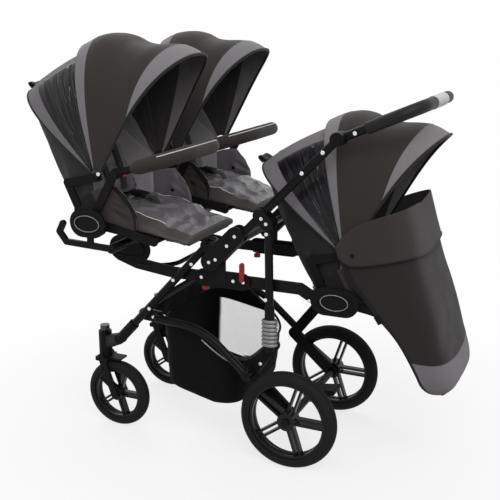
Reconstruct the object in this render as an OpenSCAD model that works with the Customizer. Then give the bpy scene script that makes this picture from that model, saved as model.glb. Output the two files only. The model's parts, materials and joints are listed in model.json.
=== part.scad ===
// Triple stroller: two seats side by side on a carrier over the front wheels and a third,
// lower seat with a foot muff under the handle, on a folding tube frame with four wheels.
// X runs from the front wheels to the handle, Y across, Z up from the floor.

/* [Wheels] */
// Outer diameter of the rear tyres
rear_wheel_d = 300; // [280:2:306]
// Width of the rear tyres
rear_tyre_w = 46; // [38:1:50]
// Outer diameter of the front tyres
front_wheel_d = 220; // [200:2:230]
// Width of the front tyres
front_tyre_w = 40; // [32:1:44]
// Distance between the middles of the rear wheels
rear_track = 424; // [420:1:440]
// Distance between the middles of the front wheels
front_track = 344; // [330:1:370]
// Distance between the front and the rear axles
wheelbase = 606; // [590:1:630]
// How far a front axle trails behind its steering axis
caster_trail = 45; // [35:1:55]
// Double spokes in each wheel
spoke_count = 5; // [4:1:7]

/* [Frame] */
// Distance from the middle of the part's length back to the rear axle
rear_axle_x = 184.3; // [100:0.1:220]
// Diameter of the legs, push tubes and arches
tube_d = 24; // [20:1:26]
// Distance between the middles of the left and right tubes
side_track = 430; // [428:1:440]
// Fold hinge ahead of the rear axle
hinge_ahead = 222; // [215:1:230]
// Height of the fold hinge
hinge_z = 618; // [610:1:622]
// Distance from the fold hinge up to the middle of the front leg
leg_offset = 50; // [46:1:54]
// Rear leg hinge ahead of the rear axle
bracket_ahead = 65; // [62:1:68]
// Height of the rear leg hinge
bracket_z = 738; // [734:1:740]
// Lower end of the rear leg ahead of the rear axle
rear_foot_ahead = 60; // [54:1:64]
// Height of the lower end of the rear leg
rear_foot_z = 455; // [445:1:465]
// Height of the damper under the rear leg
damper_h = 84; // [76:1:90]
// Height of the front pin of the arch
arch_pin_z = 406; // [400:1:412]
// Shoulder of the arch ahead of the rear axle
arch_shoulder_ahead = 275; // [265:1:285]
// Swing arm pin ahead of the rear axle
swing_pin_ahead = 133; // [128:1:140]
// Height of the swing arm pin
swing_pin_z = 268; // [262:1:274]
// Height of the seat rails
rail_z = 550; // [546:1:554]
// Depth of the seat rails, top to bottom
rail_h = 34; // [28:1:36]

/* [Handle] */
// Handle hinge behind the rear axle
handle_behind = 130; // [124:1:136]
// Height of the handle hinge
handle_z = 981; // [970:1:990]
// Length of the handle from its hinge to its cross bar
handle_reach = 230; // [215:1:245]
// Slope of the handle
handle_tilt = 23; // [15:1:32]
// Diameter of the handle grip
grip_d = 34; // [30:1:38]

/* [Seats] */
// Distance between the middles of the two front seats
seat_pitch = 451; // [446:1:470]
// Hubs of the front seats ahead of the rear axle
front_hub_ahead = 520; // [514:1:526]
// Height of the hubs of the front seats
front_hub_z = 738; // [734:1:746]
// Hubs of the rear seat behind the rear axle
rear_hub_behind = 129; // [125:1:134]
// Height of the hubs of the rear seat
rear_hub_z = 526; // [520:1:532]
// Length of the oval hub covers
hub_l = 140; // [130:1:144]
// Height of the oval hub covers
hub_h = 80; // [76:1:84]
// Distance between the outer faces of a seat's hub covers
seat_w = 416; // [414:1:426]
// Length of the seat pan from the hub axis
pan_l = 196; // [185:1:205]
// Slope of the seat pan
pan_tilt = 7; // [5:1:8]
// Length of the backrest from the hub axis
back_l = 352; // [335:1:365]
// Lean of the backrest from upright
back_lean = 25; // [20:1:28]
// Width of the seat pads
pad_w = 300; // [280:1:306]
// Thickness of the seat and back pads
pad_t = 42; // [34:1:44]
// Length of the front leg rests
front_leg_rest_l = 84; // [70:1:88]
// Length of the rear leg rest
rear_leg_rest_l = 190; // [160:1:195]

/* [Canopies] */
// Radius of the canopy's front rim about its pivot
canopy_rim_r = 404; // [396:1:410]
// Radius of the front canopy where it meets the rear one
canopy_mid_r = 370; // [366:1:374]
// Radius of the rear canopy behind the backrest
canopy_back_r = 374; // [360:1:376]
// Width over the front canopy
canopy_w = 352; // [350:1:353]
// Thickness of the padded canopy cloth
cloth_t = 2.4; // [2:0.1:3]

/* [Basket and muff] */
// Length of the basket at its rim
basket_l = 292; // [270:1:296]
// Height of the basket's floor
basket_z = 142; // [135:1:160]
// Width over the foot muff
muff_w = 368; // [366:1:370]
// Thickness of the quilted muff
muff_t = 4; // [3:0.5:4.5]

/* [Hidden] */
$fn = 48;

// Clearances: a running shaft, a fixed seat, two bodies that pass each other, a cut's overrun
run_gap = 0.05;
seat_gap = 0.4;
pass_gap = 1.5;
over = 5;
bend_inset = 0.05;
bend_lap_a = 0.5;

// Side layout, measured outwards from the middle plane
tube_r = tube_d / 2;
tube_y = side_track / 2;
plate_t = 6;
plate_gap = 0.5;
plate_in_y = tube_y - tube_r - plate_gap - plate_t;
plate_out_y = tube_y + tube_r + plate_gap;
rail_t = 9;
rail_y = plate_in_y - rail_t;
cover_t = 11;
hub_y = seat_w / 2 - cover_t;
cup_y = hub_y - plate_gap - rail_t;
flange_t = 5;
flange_y = cup_y - pass_gap * 3 - flange_t * 2 - plate_gap;
arm_t = 6;
arm_y = cup_y - plate_gap - arm_t;
back_arm_t = 7;

// Places in the side view, as [x, z] from the floor under the rear axle
axle_z = rear_wheel_d / 2;
fork_axle_z = front_wheel_d / 2;
steer_x = -wheelbase - caster_trail;
hinge_p = [-hinge_ahead, hinge_z];
bracket_p = [-bracket_ahead, bracket_z];
handle_p = [handle_behind, handle_z];
swing_p = [-swing_pin_ahead, swing_pin_z];
rear_foot_p = [-rear_foot_ahead, rear_foot_z];
axle_p = [0, axle_z];
front_hub_p = [-front_hub_ahead, front_hub_z];
rear_hub_p = [rear_hub_behind, rear_hub_z];
plug_drop = 127;
plug_back = 8;
plug_p = front_hub_p - [plug_back, plug_drop];
carrier_run = 68;
carrier_p = front_hub_p + [carrier_run, -carrier_run];

// Fold hinge, push tubes and legs
pin_r = 6;
lug_r = 17;
rear_lug_r = 15;
lug_inset = 1.5;
lug_t = tube_d - 2 * lug_inset;
lug_y = tube_y - lug_t / 2;
push_dir = unit(handle_p - hinge_p);
push_up = left_of(push_dir);
push_start = 38;
cross_r = 11;
cross_p = hinge_p + push_dir * (push_start + 2 * cross_r);
hinge_plate_r = 27;
hinge_plate_low = 22;
hinge_plate_high = 96;
hinge_plate_rise = 8;
bracket_r = 20;
leg_top_p = hinge_p + push_up * leg_offset;
head_r = 21;
head_low_z = 236;
head_high_z = 318;
stem_r = 10;
leg_foot_run = 86;
leg_foot_p = [steer_x + leg_foot_run, head_high_z];
arch_p = mix(leg_foot_p, leg_top_p, (arch_pin_z - head_high_z) / (leg_top_p[1] - head_high_z));
sleeve_wall = 4;
sleeve_r = tube_r + seat_gap + sleeve_wall;
sleeve_l = 78;
leg_brace_share = 0.6;
leg_brace_r = 10;
arch_bend_r = 220;
arch_slot = 8;
eye_r = 19;
eye_t = 9;
eye_y = tube_y - tube_r - plate_gap - eye_t;
eye_post_r = 8;
knuckle_r = 15;
arch_run_in = 46;
arch_shoulder_drop = 14;
collar_h = 36;
carrier_r = 13;
damper_bottom = rear_foot_z - damper_h;
rib_count = 5;
foot_h = 8;
foot_r = 6;

// Handle
handle_tube_r = 12;
handle_y = tube_y - tube_r - seat_gap - handle_tube_r;
handle_bend_r = 62;
grip_start = 78;
handle_route = [[0, -handle_y], [handle_reach, -handle_y], [handle_reach, handle_y], [0, handle_y]];

// Seat rails and the cups that hold the seats' plugs
plug_r = 28;
plug_half = 20;
cup_wall = 9;
cup_r = plug_r + seat_gap + cup_wall;
hub_r = hub_h / 2;
hub_half = hub_l / 2 - hub_r;
seat_hub_trim = 13;
seat_hub_half = hub_half - seat_hub_trim;
hub_rim_share = 0.58;
rail_front_run = 125;
rail_rear_run = 105;
cover_plate_l = 178;
cover_plate_h = 52;
cover_plate_t = 6;
cover_plate_ahead = 216;
hang_tab_r = 16;
brace_reach = 112;
brace_bend_r = 70;
brace_r = 7;
brace_z = rail_z + rail_h / 2 - brace_r / 2;
loop_r = 9;
loop_back = 90;
loop_bulge = 13;
loop_mid = 34;
loop_low = 62;
link_r = 14;

// Rivets, buttons and levers
rivet_r = 5;
rivet_h = 2.4;
mid_rivet_share = 0.6;
cover_rivet_shares = [-0.38, 0.2, 0.38];
button_r = 13;
button_h = 7;
button_travel = 4;
knob_r = 11;
knob_h = 20;
knob_cap_share = 0.5;
lever_l = 44;
lever_r = 7;
lever_t = 8;
lever_pin_r = 3;
lever_ahead = 150;
swivel_button_r = 15;
swivel_button_h = 15;

// Seats
plug_t = hub_y - cup_y;
boss_r = 22;
flange_r = 12;
back_foot_r = 17;
seat_pin_r = 8;
board_t = 8;
pan_start = 26;
pan_drop = 12;
pan_dir = [cos(pan_tilt), -sin(pan_tilt)];
pan_up = left_of(pan_dir);
pad_rows = 13;
pad_cols = 11;
pad_edge_t = 12;
pad_pull_share = 0.035;
channel_depth = 5;
seat_channel_shares = [0.34, 0.67];
back_channel_shares = [0.3, 0.55, 0.78];
leg_channel_shares = [0.5];
back_setback = 36;
back_dir = [-sin(back_lean), cos(back_lean)];
back_front = [cos(back_lean), sin(back_lean)];
back_start = 44;
back_elbow = 130;
back_rod_r = 7;
back_rod_share = 0.375;
back_taper = 20;
back_w = pad_w - back_taper;
leg_rest_t = 24;
leg_board_t = 4;
leg_board_w = pad_w - 4 * flange_r;
leg_hinge_r = 7;
rear_leg_angle = 58;
bumper_p = [81, 142];
bumper_tilt = 17;
bumper_reach = 176;
bumper_bend_r = 120;
bumper_r = 10;
bumper_pad_r = 21;
bumper_pad_share = 0.3;
bumper_hub_r = 15;
bumper_hub_t = 15;
bumper_pin_r = 5;

// Canopies, with angles about the pivot from straight ahead
pivot_p = [15, 124];
pivot_r = 6;
ear_r = 26;
bow_base = 22;
bow_power_share = 0.6;
bow_half_steps = 7;
canopy_inset = 4;
rear_canopy_w = canopy_w - 2 * (cloth_t + canopy_inset);
rear_canopy_r = canopy_mid_r - cloth_t - 2 * canopy_inset;
back_arm_y = rear_canopy_w / 2 - cloth_t - plate_gap * 2 - back_arm_t;
canopy_back_a = 150;
canopy_split_a = 97;
canopy_lap_a = 8;
canopy_rim_a = 60;
visor_a = 9;
canopy_rows = 7;
hump_h = 22;
hump_share = 0.62;
hump_sink_share = 0.35;
back_sink = 9;

// Basket and muff
basket_t = 3;
basket_w = 2 * (tube_y - tube_r - seat_gap);
basket_front_ahead = 452;
basket_taper_share = 0.86;
basket_steps = 24;
basket_rows = 6;
basket_flare_share = 0.5;
basket_fall_share = 0.9;
basket_corner_share = 0.45;
muff_rows = 11;
muff_half_steps = 7;
muff_power_share = 0.3;
muff_shrink_share = 0.2;
muff_reach = 338;
muff_drop = 248;
muff_rear_run_shares = [[-0.02, 0.62], [0.04, 0.4], [0.12, 0.2], [0.24, 0.02], [0.36, -0.16], [0.5, -0.36],
                        [0.6, -0.56], [0.68, -0.76], [0.73, -0.9], [0.8, -0.98], [0.88, -1]];
muff_front_run_shares = [[0.56, 0.93], [0.6, 0.72], [0.65, 0.5], [0.7, 0.28], [0.76, 0.06], [0.81, -0.16],
                         [0.86, -0.38], [0.91, -0.58], [0.96, -0.76], [0.98, -0.92], [0.92, -1]];

// Wheels
rear_rim_r = 119;
front_rim_r = 84;
tread_h = 3;
rim_lip = 9;
rim_w_share = 0.72;
rim_hollow_share = 0.9;
spoke_end_share = 0.7;
groove_share = 0.2;
rear_hub_r = 27;
front_hub_r = 19;
rear_spoke_gap = 17;
front_spoke_gap = 12;
spoke_w = 7;
spoke_t_share = 0.42;
axle_r = 8;
fork_axle_r = 6;
beam_r = 12;
wheel_end_gap = 0.6;
nut_r = 12;
nut_h = 6;
arm_plate_t = 12;
arm_plate_y = rear_track / 2 - rear_tyre_w / 2 - pass_gap * 2 - arm_plate_t;
arm_r = 19;
fork_leg_t = 8;
fork_leg_r = 12;
fork_gap = 3;
crown_t = 14;
guard_t = 6;
pedal_w = 60;
pedal_l = 74;
pedal_r = 21;
pedal_t = 8;

function unit(v) = v / norm(v);
function left_of(d) = [-d[1], d[0]];
function turn_of(a, b) = atan2(a[0] * b[1] - a[1] * b[0], a * b);
function mix(a, b, t) = a + (b - a) * t;
function power_of(v, p) = sign(v) * pow(abs(v), p);
function seat_p(i) = i == 2 ? rear_hub_p : front_hub_p;
function seat_y(i) = i == 2 ? 0 : (i == 0 ? -seat_pitch / 2 : seat_pitch / 2);
function pan_at(run, rise) = [0, -pan_drop] + pan_dir * run + pan_up * rise;
function back_at(run, rise) = back_dir * run + back_front * rise;
function lift(p, y) = [p[0], y, p[1]];

// The frame stands on the floor with the middle of its length over the origin
module placed() {
  translate([rear_axle_x, 0, 0]) children();
}

module both_sides() {
  children();
  mirror([0, 1, 0]) children();
}

module at_seat(i) {
  placed() translate([seat_p(i)[0], seat_y(i), seat_p(i)[1]]) children();
}

// A flat side-view outline made into a plate from y to y + t
module plate(y, t) {
  translate([0, y + t, 0]) rotate([90, 0, 0]) linear_extrude(t) children();
}

module rod(p, y, l, r) {
  translate([p[0], y, p[1]]) rotate([-90, 0, 0]) cylinder(h = l, r = r);
}

module side_plane(y) {
  translate([0, y, 0]) rotate([90, 0, 0]) children();
}

// A flat strip between two points, a hair narrower than the round ends that it joins
module strip(a, b, r) {
  d = b - a;
  half = r - bend_inset;
  translate(a) rotate(atan2(d[1], d[0])) translate([0, -half]) square([norm(d), 2 * half]);
}

module stadium(a, b, r) {
  stroke([a, b], r);
}

module circle_at(p, r) {
  translate(p) circle(r);
}

module stroke(points, r) {
  for (p = points) circle_at(p, r);
  for (i = [0 : len(points) - 2]) strip(points[i], points[i + 1], r);
}

module oval(half, r) {
  stadium([-half, 0], [half, 0], r);
}

module bar(a, b, r) {
  d = b - a;
  translate([a[0], a[1], 0]) rotate([0, 90, atan2(d[1], d[0])]) cylinder(h = norm(d), r = r);
}

// A tube along a flat route; each bend is a hair thinner and laps into the straights beside it
module bent_tube(points, bend_r, r) {
  last = len(points) - 1;
  dirs = [for (i = [0 : last - 1]) unit(points[i + 1] - points[i])];
  turns = [for (i = [0 : last]) i == 0 || i == last ? 0 : turn_of(dirs[i - 1], dirs[i])];
  cuts = [for (t = turns) bend_r * tan(abs(t) / 2)];
  for (i = [0 : last - 1]) {
    bar(points[i] + dirs[i] * cuts[i], points[i + 1] - dirs[i] * cuts[i + 1], r);
  }
  for (i = [1 : last - 1]) {
    start = points[i] - dirs[i - 1] * cuts[i];
    middle = start + left_of(dirs[i - 1]) * sign(turns[i]) * bend_r;
    spoke = start - middle;
    translate([middle[0], middle[1], 0])
      rotate(atan2(spoke[1], spoke[0]) + min(turns[i], 0) - bend_lap_a)
        rotate_extrude(angle = abs(turns[i]) + 2 * bend_lap_a) translate([bend_r, 0]) circle(r - bend_inset);
  }
}

// A closed shell between two grids of points that share rows and columns
module sheet_skin(outer, inner) {
  m = len(outer);
  n = len(outer[0]);
  points = [for (grid = [outer, inner]) for (row = grid) for (p = row) p];
  function at(side, i, j) = side * m * n + i * n + j;
  faces = [
    for (i = [0 : m - 2]) for (j = [0 : n - 2]) each [
      [at(0, i, j), at(0, i + 1, j), at(0, i + 1, j + 1)],
      [at(0, i, j), at(0, i + 1, j + 1), at(0, i, j + 1)],
      [at(1, i, j), at(1, i + 1, j + 1), at(1, i + 1, j)],
      [at(1, i, j), at(1, i, j + 1), at(1, i + 1, j + 1)]
    ],
    for (i = [0 : m - 2]) each [
      [at(0, i, 0), at(1, i, 0), at(1, i + 1, 0)],
      [at(0, i, 0), at(1, i + 1, 0), at(0, i + 1, 0)],
      [at(0, i, n - 1), at(1, i + 1, n - 1), at(1, i, n - 1)],
      [at(0, i, n - 1), at(0, i + 1, n - 1), at(1, i + 1, n - 1)]
    ],
    for (j = [0 : n - 2]) each [
      [at(0, 0, j), at(0, 0, j + 1), at(1, 0, j + 1)],
      [at(0, 0, j), at(1, 0, j + 1), at(1, 0, j)],
      [at(0, m - 1, j), at(1, m - 1, j + 1), at(0, m - 1, j + 1)],
      [at(0, m - 1, j), at(1, m - 1, j), at(1, m - 1, j + 1)]
    ]
  ];
  polyhedron(points, faces);
}

// A bag between two stacks of rings, from the floor up to the rim, with closed floors
module bag_skin(outer, inner) {
  m = len(outer);
  n = len(outer[0]);
  function middle(ring) = [for (k = [0 : 2]) [for (p = ring) p[k]] * [for (p = ring) 1] / n];
  rings = [for (stack = [outer, inner]) for (ring = stack) for (p = ring) p];
  points = concat(rings, [middle(outer[0]), middle(inner[0])]);
  function at(side, i, j) = side * m * n + i * n + j % n;
  faces = [
    for (i = [0 : m - 2]) for (j = [0 : n - 1]) each [
      [at(0, i, j), at(0, i + 1, j), at(0, i + 1, j + 1)],
      [at(0, i, j), at(0, i + 1, j + 1), at(0, i, j + 1)],
      [at(1, i, j), at(1, i + 1, j + 1), at(1, i + 1, j)],
      [at(1, i, j), at(1, i, j + 1), at(1, i + 1, j + 1)]
    ],
    for (j = [0 : n - 1]) each [
      [at(0, 0, j), at(0, 0, j + 1), 2 * m * n],
      [at(1, 0, j + 1), at(1, 0, j), 2 * m * n + 1],
      [at(0, m - 1, j), at(1, m - 1, j), at(1, m - 1, j + 1)],
      [at(0, m - 1, j), at(1, m - 1, j + 1), at(0, m - 1, j + 1)]
    ]
  ];
  polyhedron(points, faces);
}

// Frame

module push_tubes() {
  color("#1b1b1d") placed() {
    both_sides() {
      side_plane(tube_y) bar(hinge_p + push_dir * push_start, handle_p - push_dir * button_r, tube_r);
      difference() {
        plate(lug_y, lug_t) circle_at(handle_p, lug_r + rivet_h);
        rod(handle_p, lug_y + lug_t - button_h - button_travel, button_h + button_travel + over,
            button_r + run_gap);
      }
      rod(handle_p, handle_y - handle_tube_r, lug_y - handle_y + handle_tube_r + over, seat_pin_r);
    }
    rod(cross_p, -tube_y, side_track, cross_r);
  }
}

// The plates that pin the front and rear legs to the push tubes
module hinge_plates() {
  low = hinge_p - push_dir * hinge_plate_low + push_up * hinge_plate_rise;
  high = hinge_p + push_dir * hinge_plate_high + push_up * hinge_plate_rise;
  push_p = hinge_p + push_dir * ((bracket_p - hinge_p) * push_dir);
  color("#202022") placed() both_sides() {
    difference() {
      plate(plate_in_y, plate_t) {
        stadium(low, high, hinge_plate_r);
        stadium(hinge_p, [hinge_p[0], rail_z], hang_tab_r);
        stadium(bracket_p, push_p, bracket_r);
      }
      rod(cross_p, plate_in_y - over, plate_t + 2 * over, cross_r + seat_gap);
    }
    plate(plate_out_y, plate_t) {
      stadium(low, high, hinge_plate_r);
      stadium(bracket_p, push_p, bracket_r);
    }
    for (p = [hinge_p, bracket_p]) rod(p, plate_in_y, plate_out_y - plate_in_y, pin_r);
  }
}

// Flat bars that run under the front cups and back to the rear ones, joined by a U brace
module seat_rails() {
  front = plug_p - [plug_half * 2, cup_r - plug_half / 2];
  front_mid = plug_p + [plug_half, -cup_r - cup_wall];
  front_low = [plug_p[0] + plug_half + rail_front_run, rail_z];
  rear_low = [rear_hub_p[0] - rail_rear_run, rail_z];
  rear = rear_hub_p - [plug_half + cup_r - cup_wall / 2, cup_wall / 2];
  brace_y = rail_y + brace_r / 2;
  color("#1b1b1d") placed() {
    both_sides() difference() {
      plate(rail_y, rail_t) stroke([front, front_mid, front_low, rear_low, rear], rail_h / 2);
      for (p = [plug_p, rear_hub_p]) translate(lift(p, 0)) plate(rail_y - over, rail_t + 2 * over)
        oval(plug_half, cup_r + seat_gap);
    }
    translate([front_mid[0], 0, brace_z]) bent_tube(
      [[0, -brace_y], [brace_reach, -brace_y], [brace_reach, brace_y], [0, brace_y]],
      brace_bend_r, brace_r);
  }
}

// Oval cups on the rails and on the carrier that the seats' plugs drop into
module seat_cups() {
  color("#262628") placed() both_sides() {
    for (spot = [[plug_p, 0], [rear_hub_p, 0], [front_hub_p, seat_pitch / 2]]) {
      sides = spot[1] == 0 ? [1] : [-1, 1];
      for (s = sides) translate([spot[0][0], spot[1], spot[0][1]]) mirror([0, s < 0 ? 1 : 0, 0])
        plate(cup_y, rail_t) difference() {
          oval(plug_half, cup_r);
          oval(plug_half, plug_r + seat_gap);
          translate([-hub_l, seat_gap]) square([2 * hub_l, hub_l]);
        }
    }
  }
}

// Cross tube with four hooked loops for the two front seats and two plugs on links below
module seat_carrier() {
  color("#1b1b1d") placed() {
    loop_y = seat_pitch / 2 + cup_y;
    hook = [[-loop_back, -loop_r], [-loop_back - loop_bulge, -loop_mid], [-loop_back + loop_r, -loop_low],
            carrier_p - front_hub_p];
    rod(carrier_p, -loop_y - rail_t, 2 * (loop_y + rail_t), carrier_r);
    both_sides() {
      for (s = [-1, 1]) translate([front_hub_p[0], seat_pitch / 2, front_hub_p[1]])
        mirror([0, s < 0 ? 1 : 0, 0]) plate(cup_y, rail_t) difference() {
          union() {
            stroke(hook, loop_r);
            stadium([0, -loop_low], [0, -cup_r], loop_r);
          }
          oval(plug_half, cup_r + seat_gap);
        }
      plate(cup_y, plug_t) {
        translate(plug_p) oval(plug_half, plug_r);
        stadium(plug_p, carrier_p, link_r);
      }
    }
  }
}

// Oval covers outside each plug, with a raised oval rim
module seat_hubs() {
  color("#161618") placed() both_sides() {
    for (spot = [[plug_p, 0], [rear_hub_p, 0], [front_hub_p, seat_pitch / 2]]) {
      half = spot[1] == 0 ? hub_half : seat_hub_half;
      sides = spot[1] == 0 ? [1] : [-1, 1];
      for (s = sides) translate([spot[0][0], spot[1], spot[0][1]]) mirror([0, s < 0 ? 1 : 0, 0]) {
        plate(hub_y, cover_t - rivet_h) oval(half, hub_r);
        plate(hub_y + cover_t - rivet_h, rivet_h) difference() {
          oval(half, hub_r * hub_rim_share);
          oval(half, hub_r * hub_rim_share - rivet_h);
        }
      }
    }
  }
}

// Moulded covers on the rails beside the fold locks
module rail_covers() {
  middle = [-cover_plate_ahead, rail_z];
  half = cover_plate_l / 2 - cover_plate_h / 2;
  color("#2a2a2c") placed() both_sides() difference() {
    plate(plate_in_y, cover_plate_t) translate(middle) oval(half, cover_plate_h / 2);
    plate(plate_in_y - over, cover_plate_t + 2 * over)
      stadium(hinge_p, [hinge_p[0], rail_z], hang_tab_r + plate_gap);
    rod([-lever_ahead, rail_z + rail_h / 4], plate_in_y - over, cover_plate_t + 2 * over,
        lever_pin_r + run_gap);
  }
}

module frame_rivets() {
  low = hinge_p - push_dir * hinge_plate_low + push_up * hinge_plate_rise;
  high = hinge_p + push_dir * hinge_plate_high + push_up * hinge_plate_rise;
  plate_spots = [low, hinge_p, high, mix(hinge_p, high, mid_rivet_share), bracket_p,
                 bracket_p + push_up * bracket_r];
  cover_spots = [for (s = cover_rivet_shares) [-cover_plate_ahead + s * cover_plate_l, rail_z]];
  color("silver") placed() both_sides() {
    for (p = plate_spots) rod(p, plate_out_y + plate_t, rivet_h, rivet_r);
    for (p = cover_spots) rod(p, plate_in_y + cover_plate_t, rivet_h, rivet_r);
  }
}

// Red grips of the lock bolts under the rail covers
module rail_knobs() {
  top = rail_z - rail_h / 2 - seat_gap;
  color("#c3272b") placed() both_sides()
    translate([-cover_plate_ahead - cover_plate_l / 3, rail_y + rail_t / 2, top - knob_h]) {
      cylinder(h = knob_h, r = rail_t / 2);
      cylinder(h = knob_h * knob_cap_share, r = knob_r);
    }
}

module lock_lever() {
  pin_p = [-lever_ahead, rail_z + rail_h / 4];
  top = pin_p + [0, lever_l];
  color("#c3272b") {
    plate(plate_in_y + cover_plate_t + rivet_h, lever_t) stadium(pin_p, top, lever_r);
    rod(pin_p, plate_in_y, cover_plate_t + rivet_h, lever_pin_r);
  }
}

module left_lock_lever() placed() mirror([0, 1, 0]) lock_lever();
module right_lock_lever() placed() lock_lever();

// Handle

module at_handle() {
  placed() translate(lift(handle_p, 0)) rotate([0, -handle_tilt, 0]) children();
}

module handle_bar() {
  knuckle_t = 2 * handle_tube_r - 2 * seat_gap;
  color("#1d1d1f") at_handle() difference() {
    union() {
      bent_tube(handle_route, handle_bend_r, handle_tube_r);
      both_sides() rod([0, 0], handle_y - knuckle_t / 2, knuckle_t, lug_r + rivet_h);
    }
    both_sides() rod([0, 0], handle_y - handle_tube_r - over, 2 * (handle_tube_r + over),
                     seat_pin_r + run_gap);
  }
}

// Padded sleeve over the arms and the cross bar
module handle_grip() {
  start = [grip_start, 0];
  route = [handle_route[0] + start, handle_route[1], handle_route[2], handle_route[3] + start];
  color("#141414") at_handle() difference() {
    bent_tube(route, handle_bend_r, grip_d / 2);
    bent_tube(handle_route, handle_bend_r, handle_tube_r + run_gap);
  }
}

// Round release buttons in the outer faces of the handle hinge
module handle_button() {
  color("#2c2c2e") rod(handle_p, lug_y + lug_t - button_h, button_h + rivet_h, button_r);
}

module left_handle_button() placed() mirror([0, 1, 0]) handle_button();
module right_handle_button() placed() handle_button();

// Front legs, steering heads and front wheels

module front_legs() {
  brace_p = mix(leg_top_p, leg_foot_p, leg_brace_share);
  color("#1b1b1d") placed() {
    both_sides() {
      difference() {
        union() {
          side_plane(tube_y) bar(leg_top_p + push_dir * tube_r, leg_foot_p + push_dir * pass_gap, tube_r);
          plate(lug_y, lug_t) stadium(leg_top_p, hinge_p, lug_r);
        }
        rod(hinge_p, tube_y - tube_r - over, tube_d + 2 * over, pin_r + run_gap);
      }
      rod(arch_p, eye_y - seat_gap, tube_y - eye_y, pin_r);
    }
    rod(brace_p, -tube_y, side_track, leg_brace_r);
  }
}

// Castings that join each front leg's foot to its upright steering bearing
module steering_heads() {
  head_y = front_track / 2;
  color("#222224") placed() both_sides() difference() {
    union() {
      translate([steer_x, head_y, head_low_z]) cylinder(h = head_high_z - head_low_z, r = head_r);
      hull() {
        translate([steer_x, head_y, head_low_z + head_r]) cylinder(h = head_r * 2, r = head_r / 2);
        rod(leg_foot_p, tube_y - tube_r, tube_d, sleeve_r);
      }
      side_plane(tube_y) bar(leg_foot_p, leg_foot_p + unit(leg_top_p - leg_foot_p) * sleeve_l, sleeve_r);
    }
    translate([steer_x, head_y, head_low_z - over])
      cylinder(h = head_high_z - head_low_z + 2 * over, r = stem_r + run_gap);
    side_plane(tube_y) bar(leg_foot_p, leg_top_p, tube_r + seat_gap);
  }
}

module swivel_button(side) {
  color("#c9cacc") translate([steer_x, side * front_track / 2, head_high_z]) {
    translate([0, 0, button_travel + seat_gap]) cylinder(h = swivel_button_h, r = swivel_button_r);
    translate([0, 0, -head_r]) cylinder(h = head_r + swivel_button_h / 2, r = stem_r - seat_gap);
  }
}

module left_swivel_button() placed() swivel_button(-1);
module right_swivel_button() placed() swivel_button(1);

// Fork with its stem, two trailing legs, a small guard and the wheel's axle
module fork(side) {
  axle_p = [-wheelbase, fork_axle_z];
  leg_y = front_tyre_w / 2 + fork_gap;
  crown_z = head_low_z - seat_gap - crown_t;
  stem_top = head_high_z - head_r - button_travel * 2 - seat_gap;
  color("#1f1f21") translate([0, side * front_track / 2, 0]) {
    translate([steer_x, 0, crown_z]) {
      cylinder(h = stem_top - crown_z, r = stem_r);
      cylinder(h = crown_t, r = head_r);
      translate([-head_r, -leg_y - fork_leg_t, 0])
        cube([head_r * 2, 2 * (leg_y + fork_leg_t), crown_t]);
    }
    both_sides() plate(leg_y, fork_leg_t) stadium([steer_x, crown_z + fork_leg_r], axle_p, fork_leg_r);
    rod(axle_p, -leg_y - fork_leg_t, 2 * (leg_y + fork_leg_t), fork_axle_r);
    translate([steer_x, -front_tyre_w / 2, crown_z + crown_t - guard_t])
      cube([head_r + caster_trail, front_tyre_w, guard_t]);
  }
}

module left_fork() placed() fork(-1);
module right_fork() placed() fork(1);

// A spoked wheel about the Y axis, with pairs of bars between its hub and its rim
module spoked_wheel(rim_r, tyre_w, hub_r, hub_w, bore_r, spoke_gap) {
  rim_w = tyre_w * rim_w_share;
  spoke_t = tyre_w * spoke_t_share;
  rotate([90, 0, 0]) difference() {
    union() {
      rotate_extrude() translate([rim_r - rim_lip, -rim_w / 2]) difference() {
        square([rim_lip, rim_w]);
        translate([-rim_lip / 2, rim_w / 2]) circle(rim_lip * rim_hollow_share);
      }
      translate([0, 0, -hub_w / 2]) cylinder(h = hub_w, r = hub_r);
      for (i = [0 : spoke_count - 1]) for (s = [-1, 1]) rotate(i * 360 / spoke_count)
        translate([0, s * spoke_gap / 2 - spoke_w / 2, -spoke_t / 2])
          cube([rim_r - rim_lip * spoke_end_share, spoke_w, spoke_t]);
    }
    translate([0, 0, -hub_w]) cylinder(h = 2 * hub_w, r = bore_r + run_gap);
  }
}

// A tyre with a round tread and two grooves
module tyre(d, w, rim_r) {
  rotate([90, 0, 0]) rotate_extrude() difference() {
    intersection() {
      translate([d / 2 - w / 2, 0]) circle(w / 2);
      translate([rim_r + run_gap, -w / 2]) square([d / 2 - rim_r, w]);
    }
    for (s = [-1, 1]) translate([d / 2 - tread_h, s * w * groove_share - tread_h / 4])
      square([tread_h + over, tread_h / 2]);
  }
}

module front_wheel_at(side) {
  placed() translate([-wheelbase, side * front_track / 2, fork_axle_z]) children();
}

module front_wheel() {
  hub_w = front_tyre_w + 2 * (fork_gap - wheel_end_gap);
  color("#19191b") spoked_wheel(front_rim_r, front_tyre_w, front_hub_r, hub_w, fork_axle_r,
                                front_spoke_gap);
}

module front_tyre() {
  color("#242426") tyre(front_wheel_d, front_tyre_w, front_rim_r);
}

module left_front_wheel() front_wheel_at(-1) front_wheel();
module right_front_wheel() front_wheel_at(1) front_wheel();
module left_front_tyre() front_wheel_at(-1) front_tyre();
module right_front_tyre() front_wheel_at(1) front_tyre();

// Rear legs, suspension and rear wheels

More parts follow.
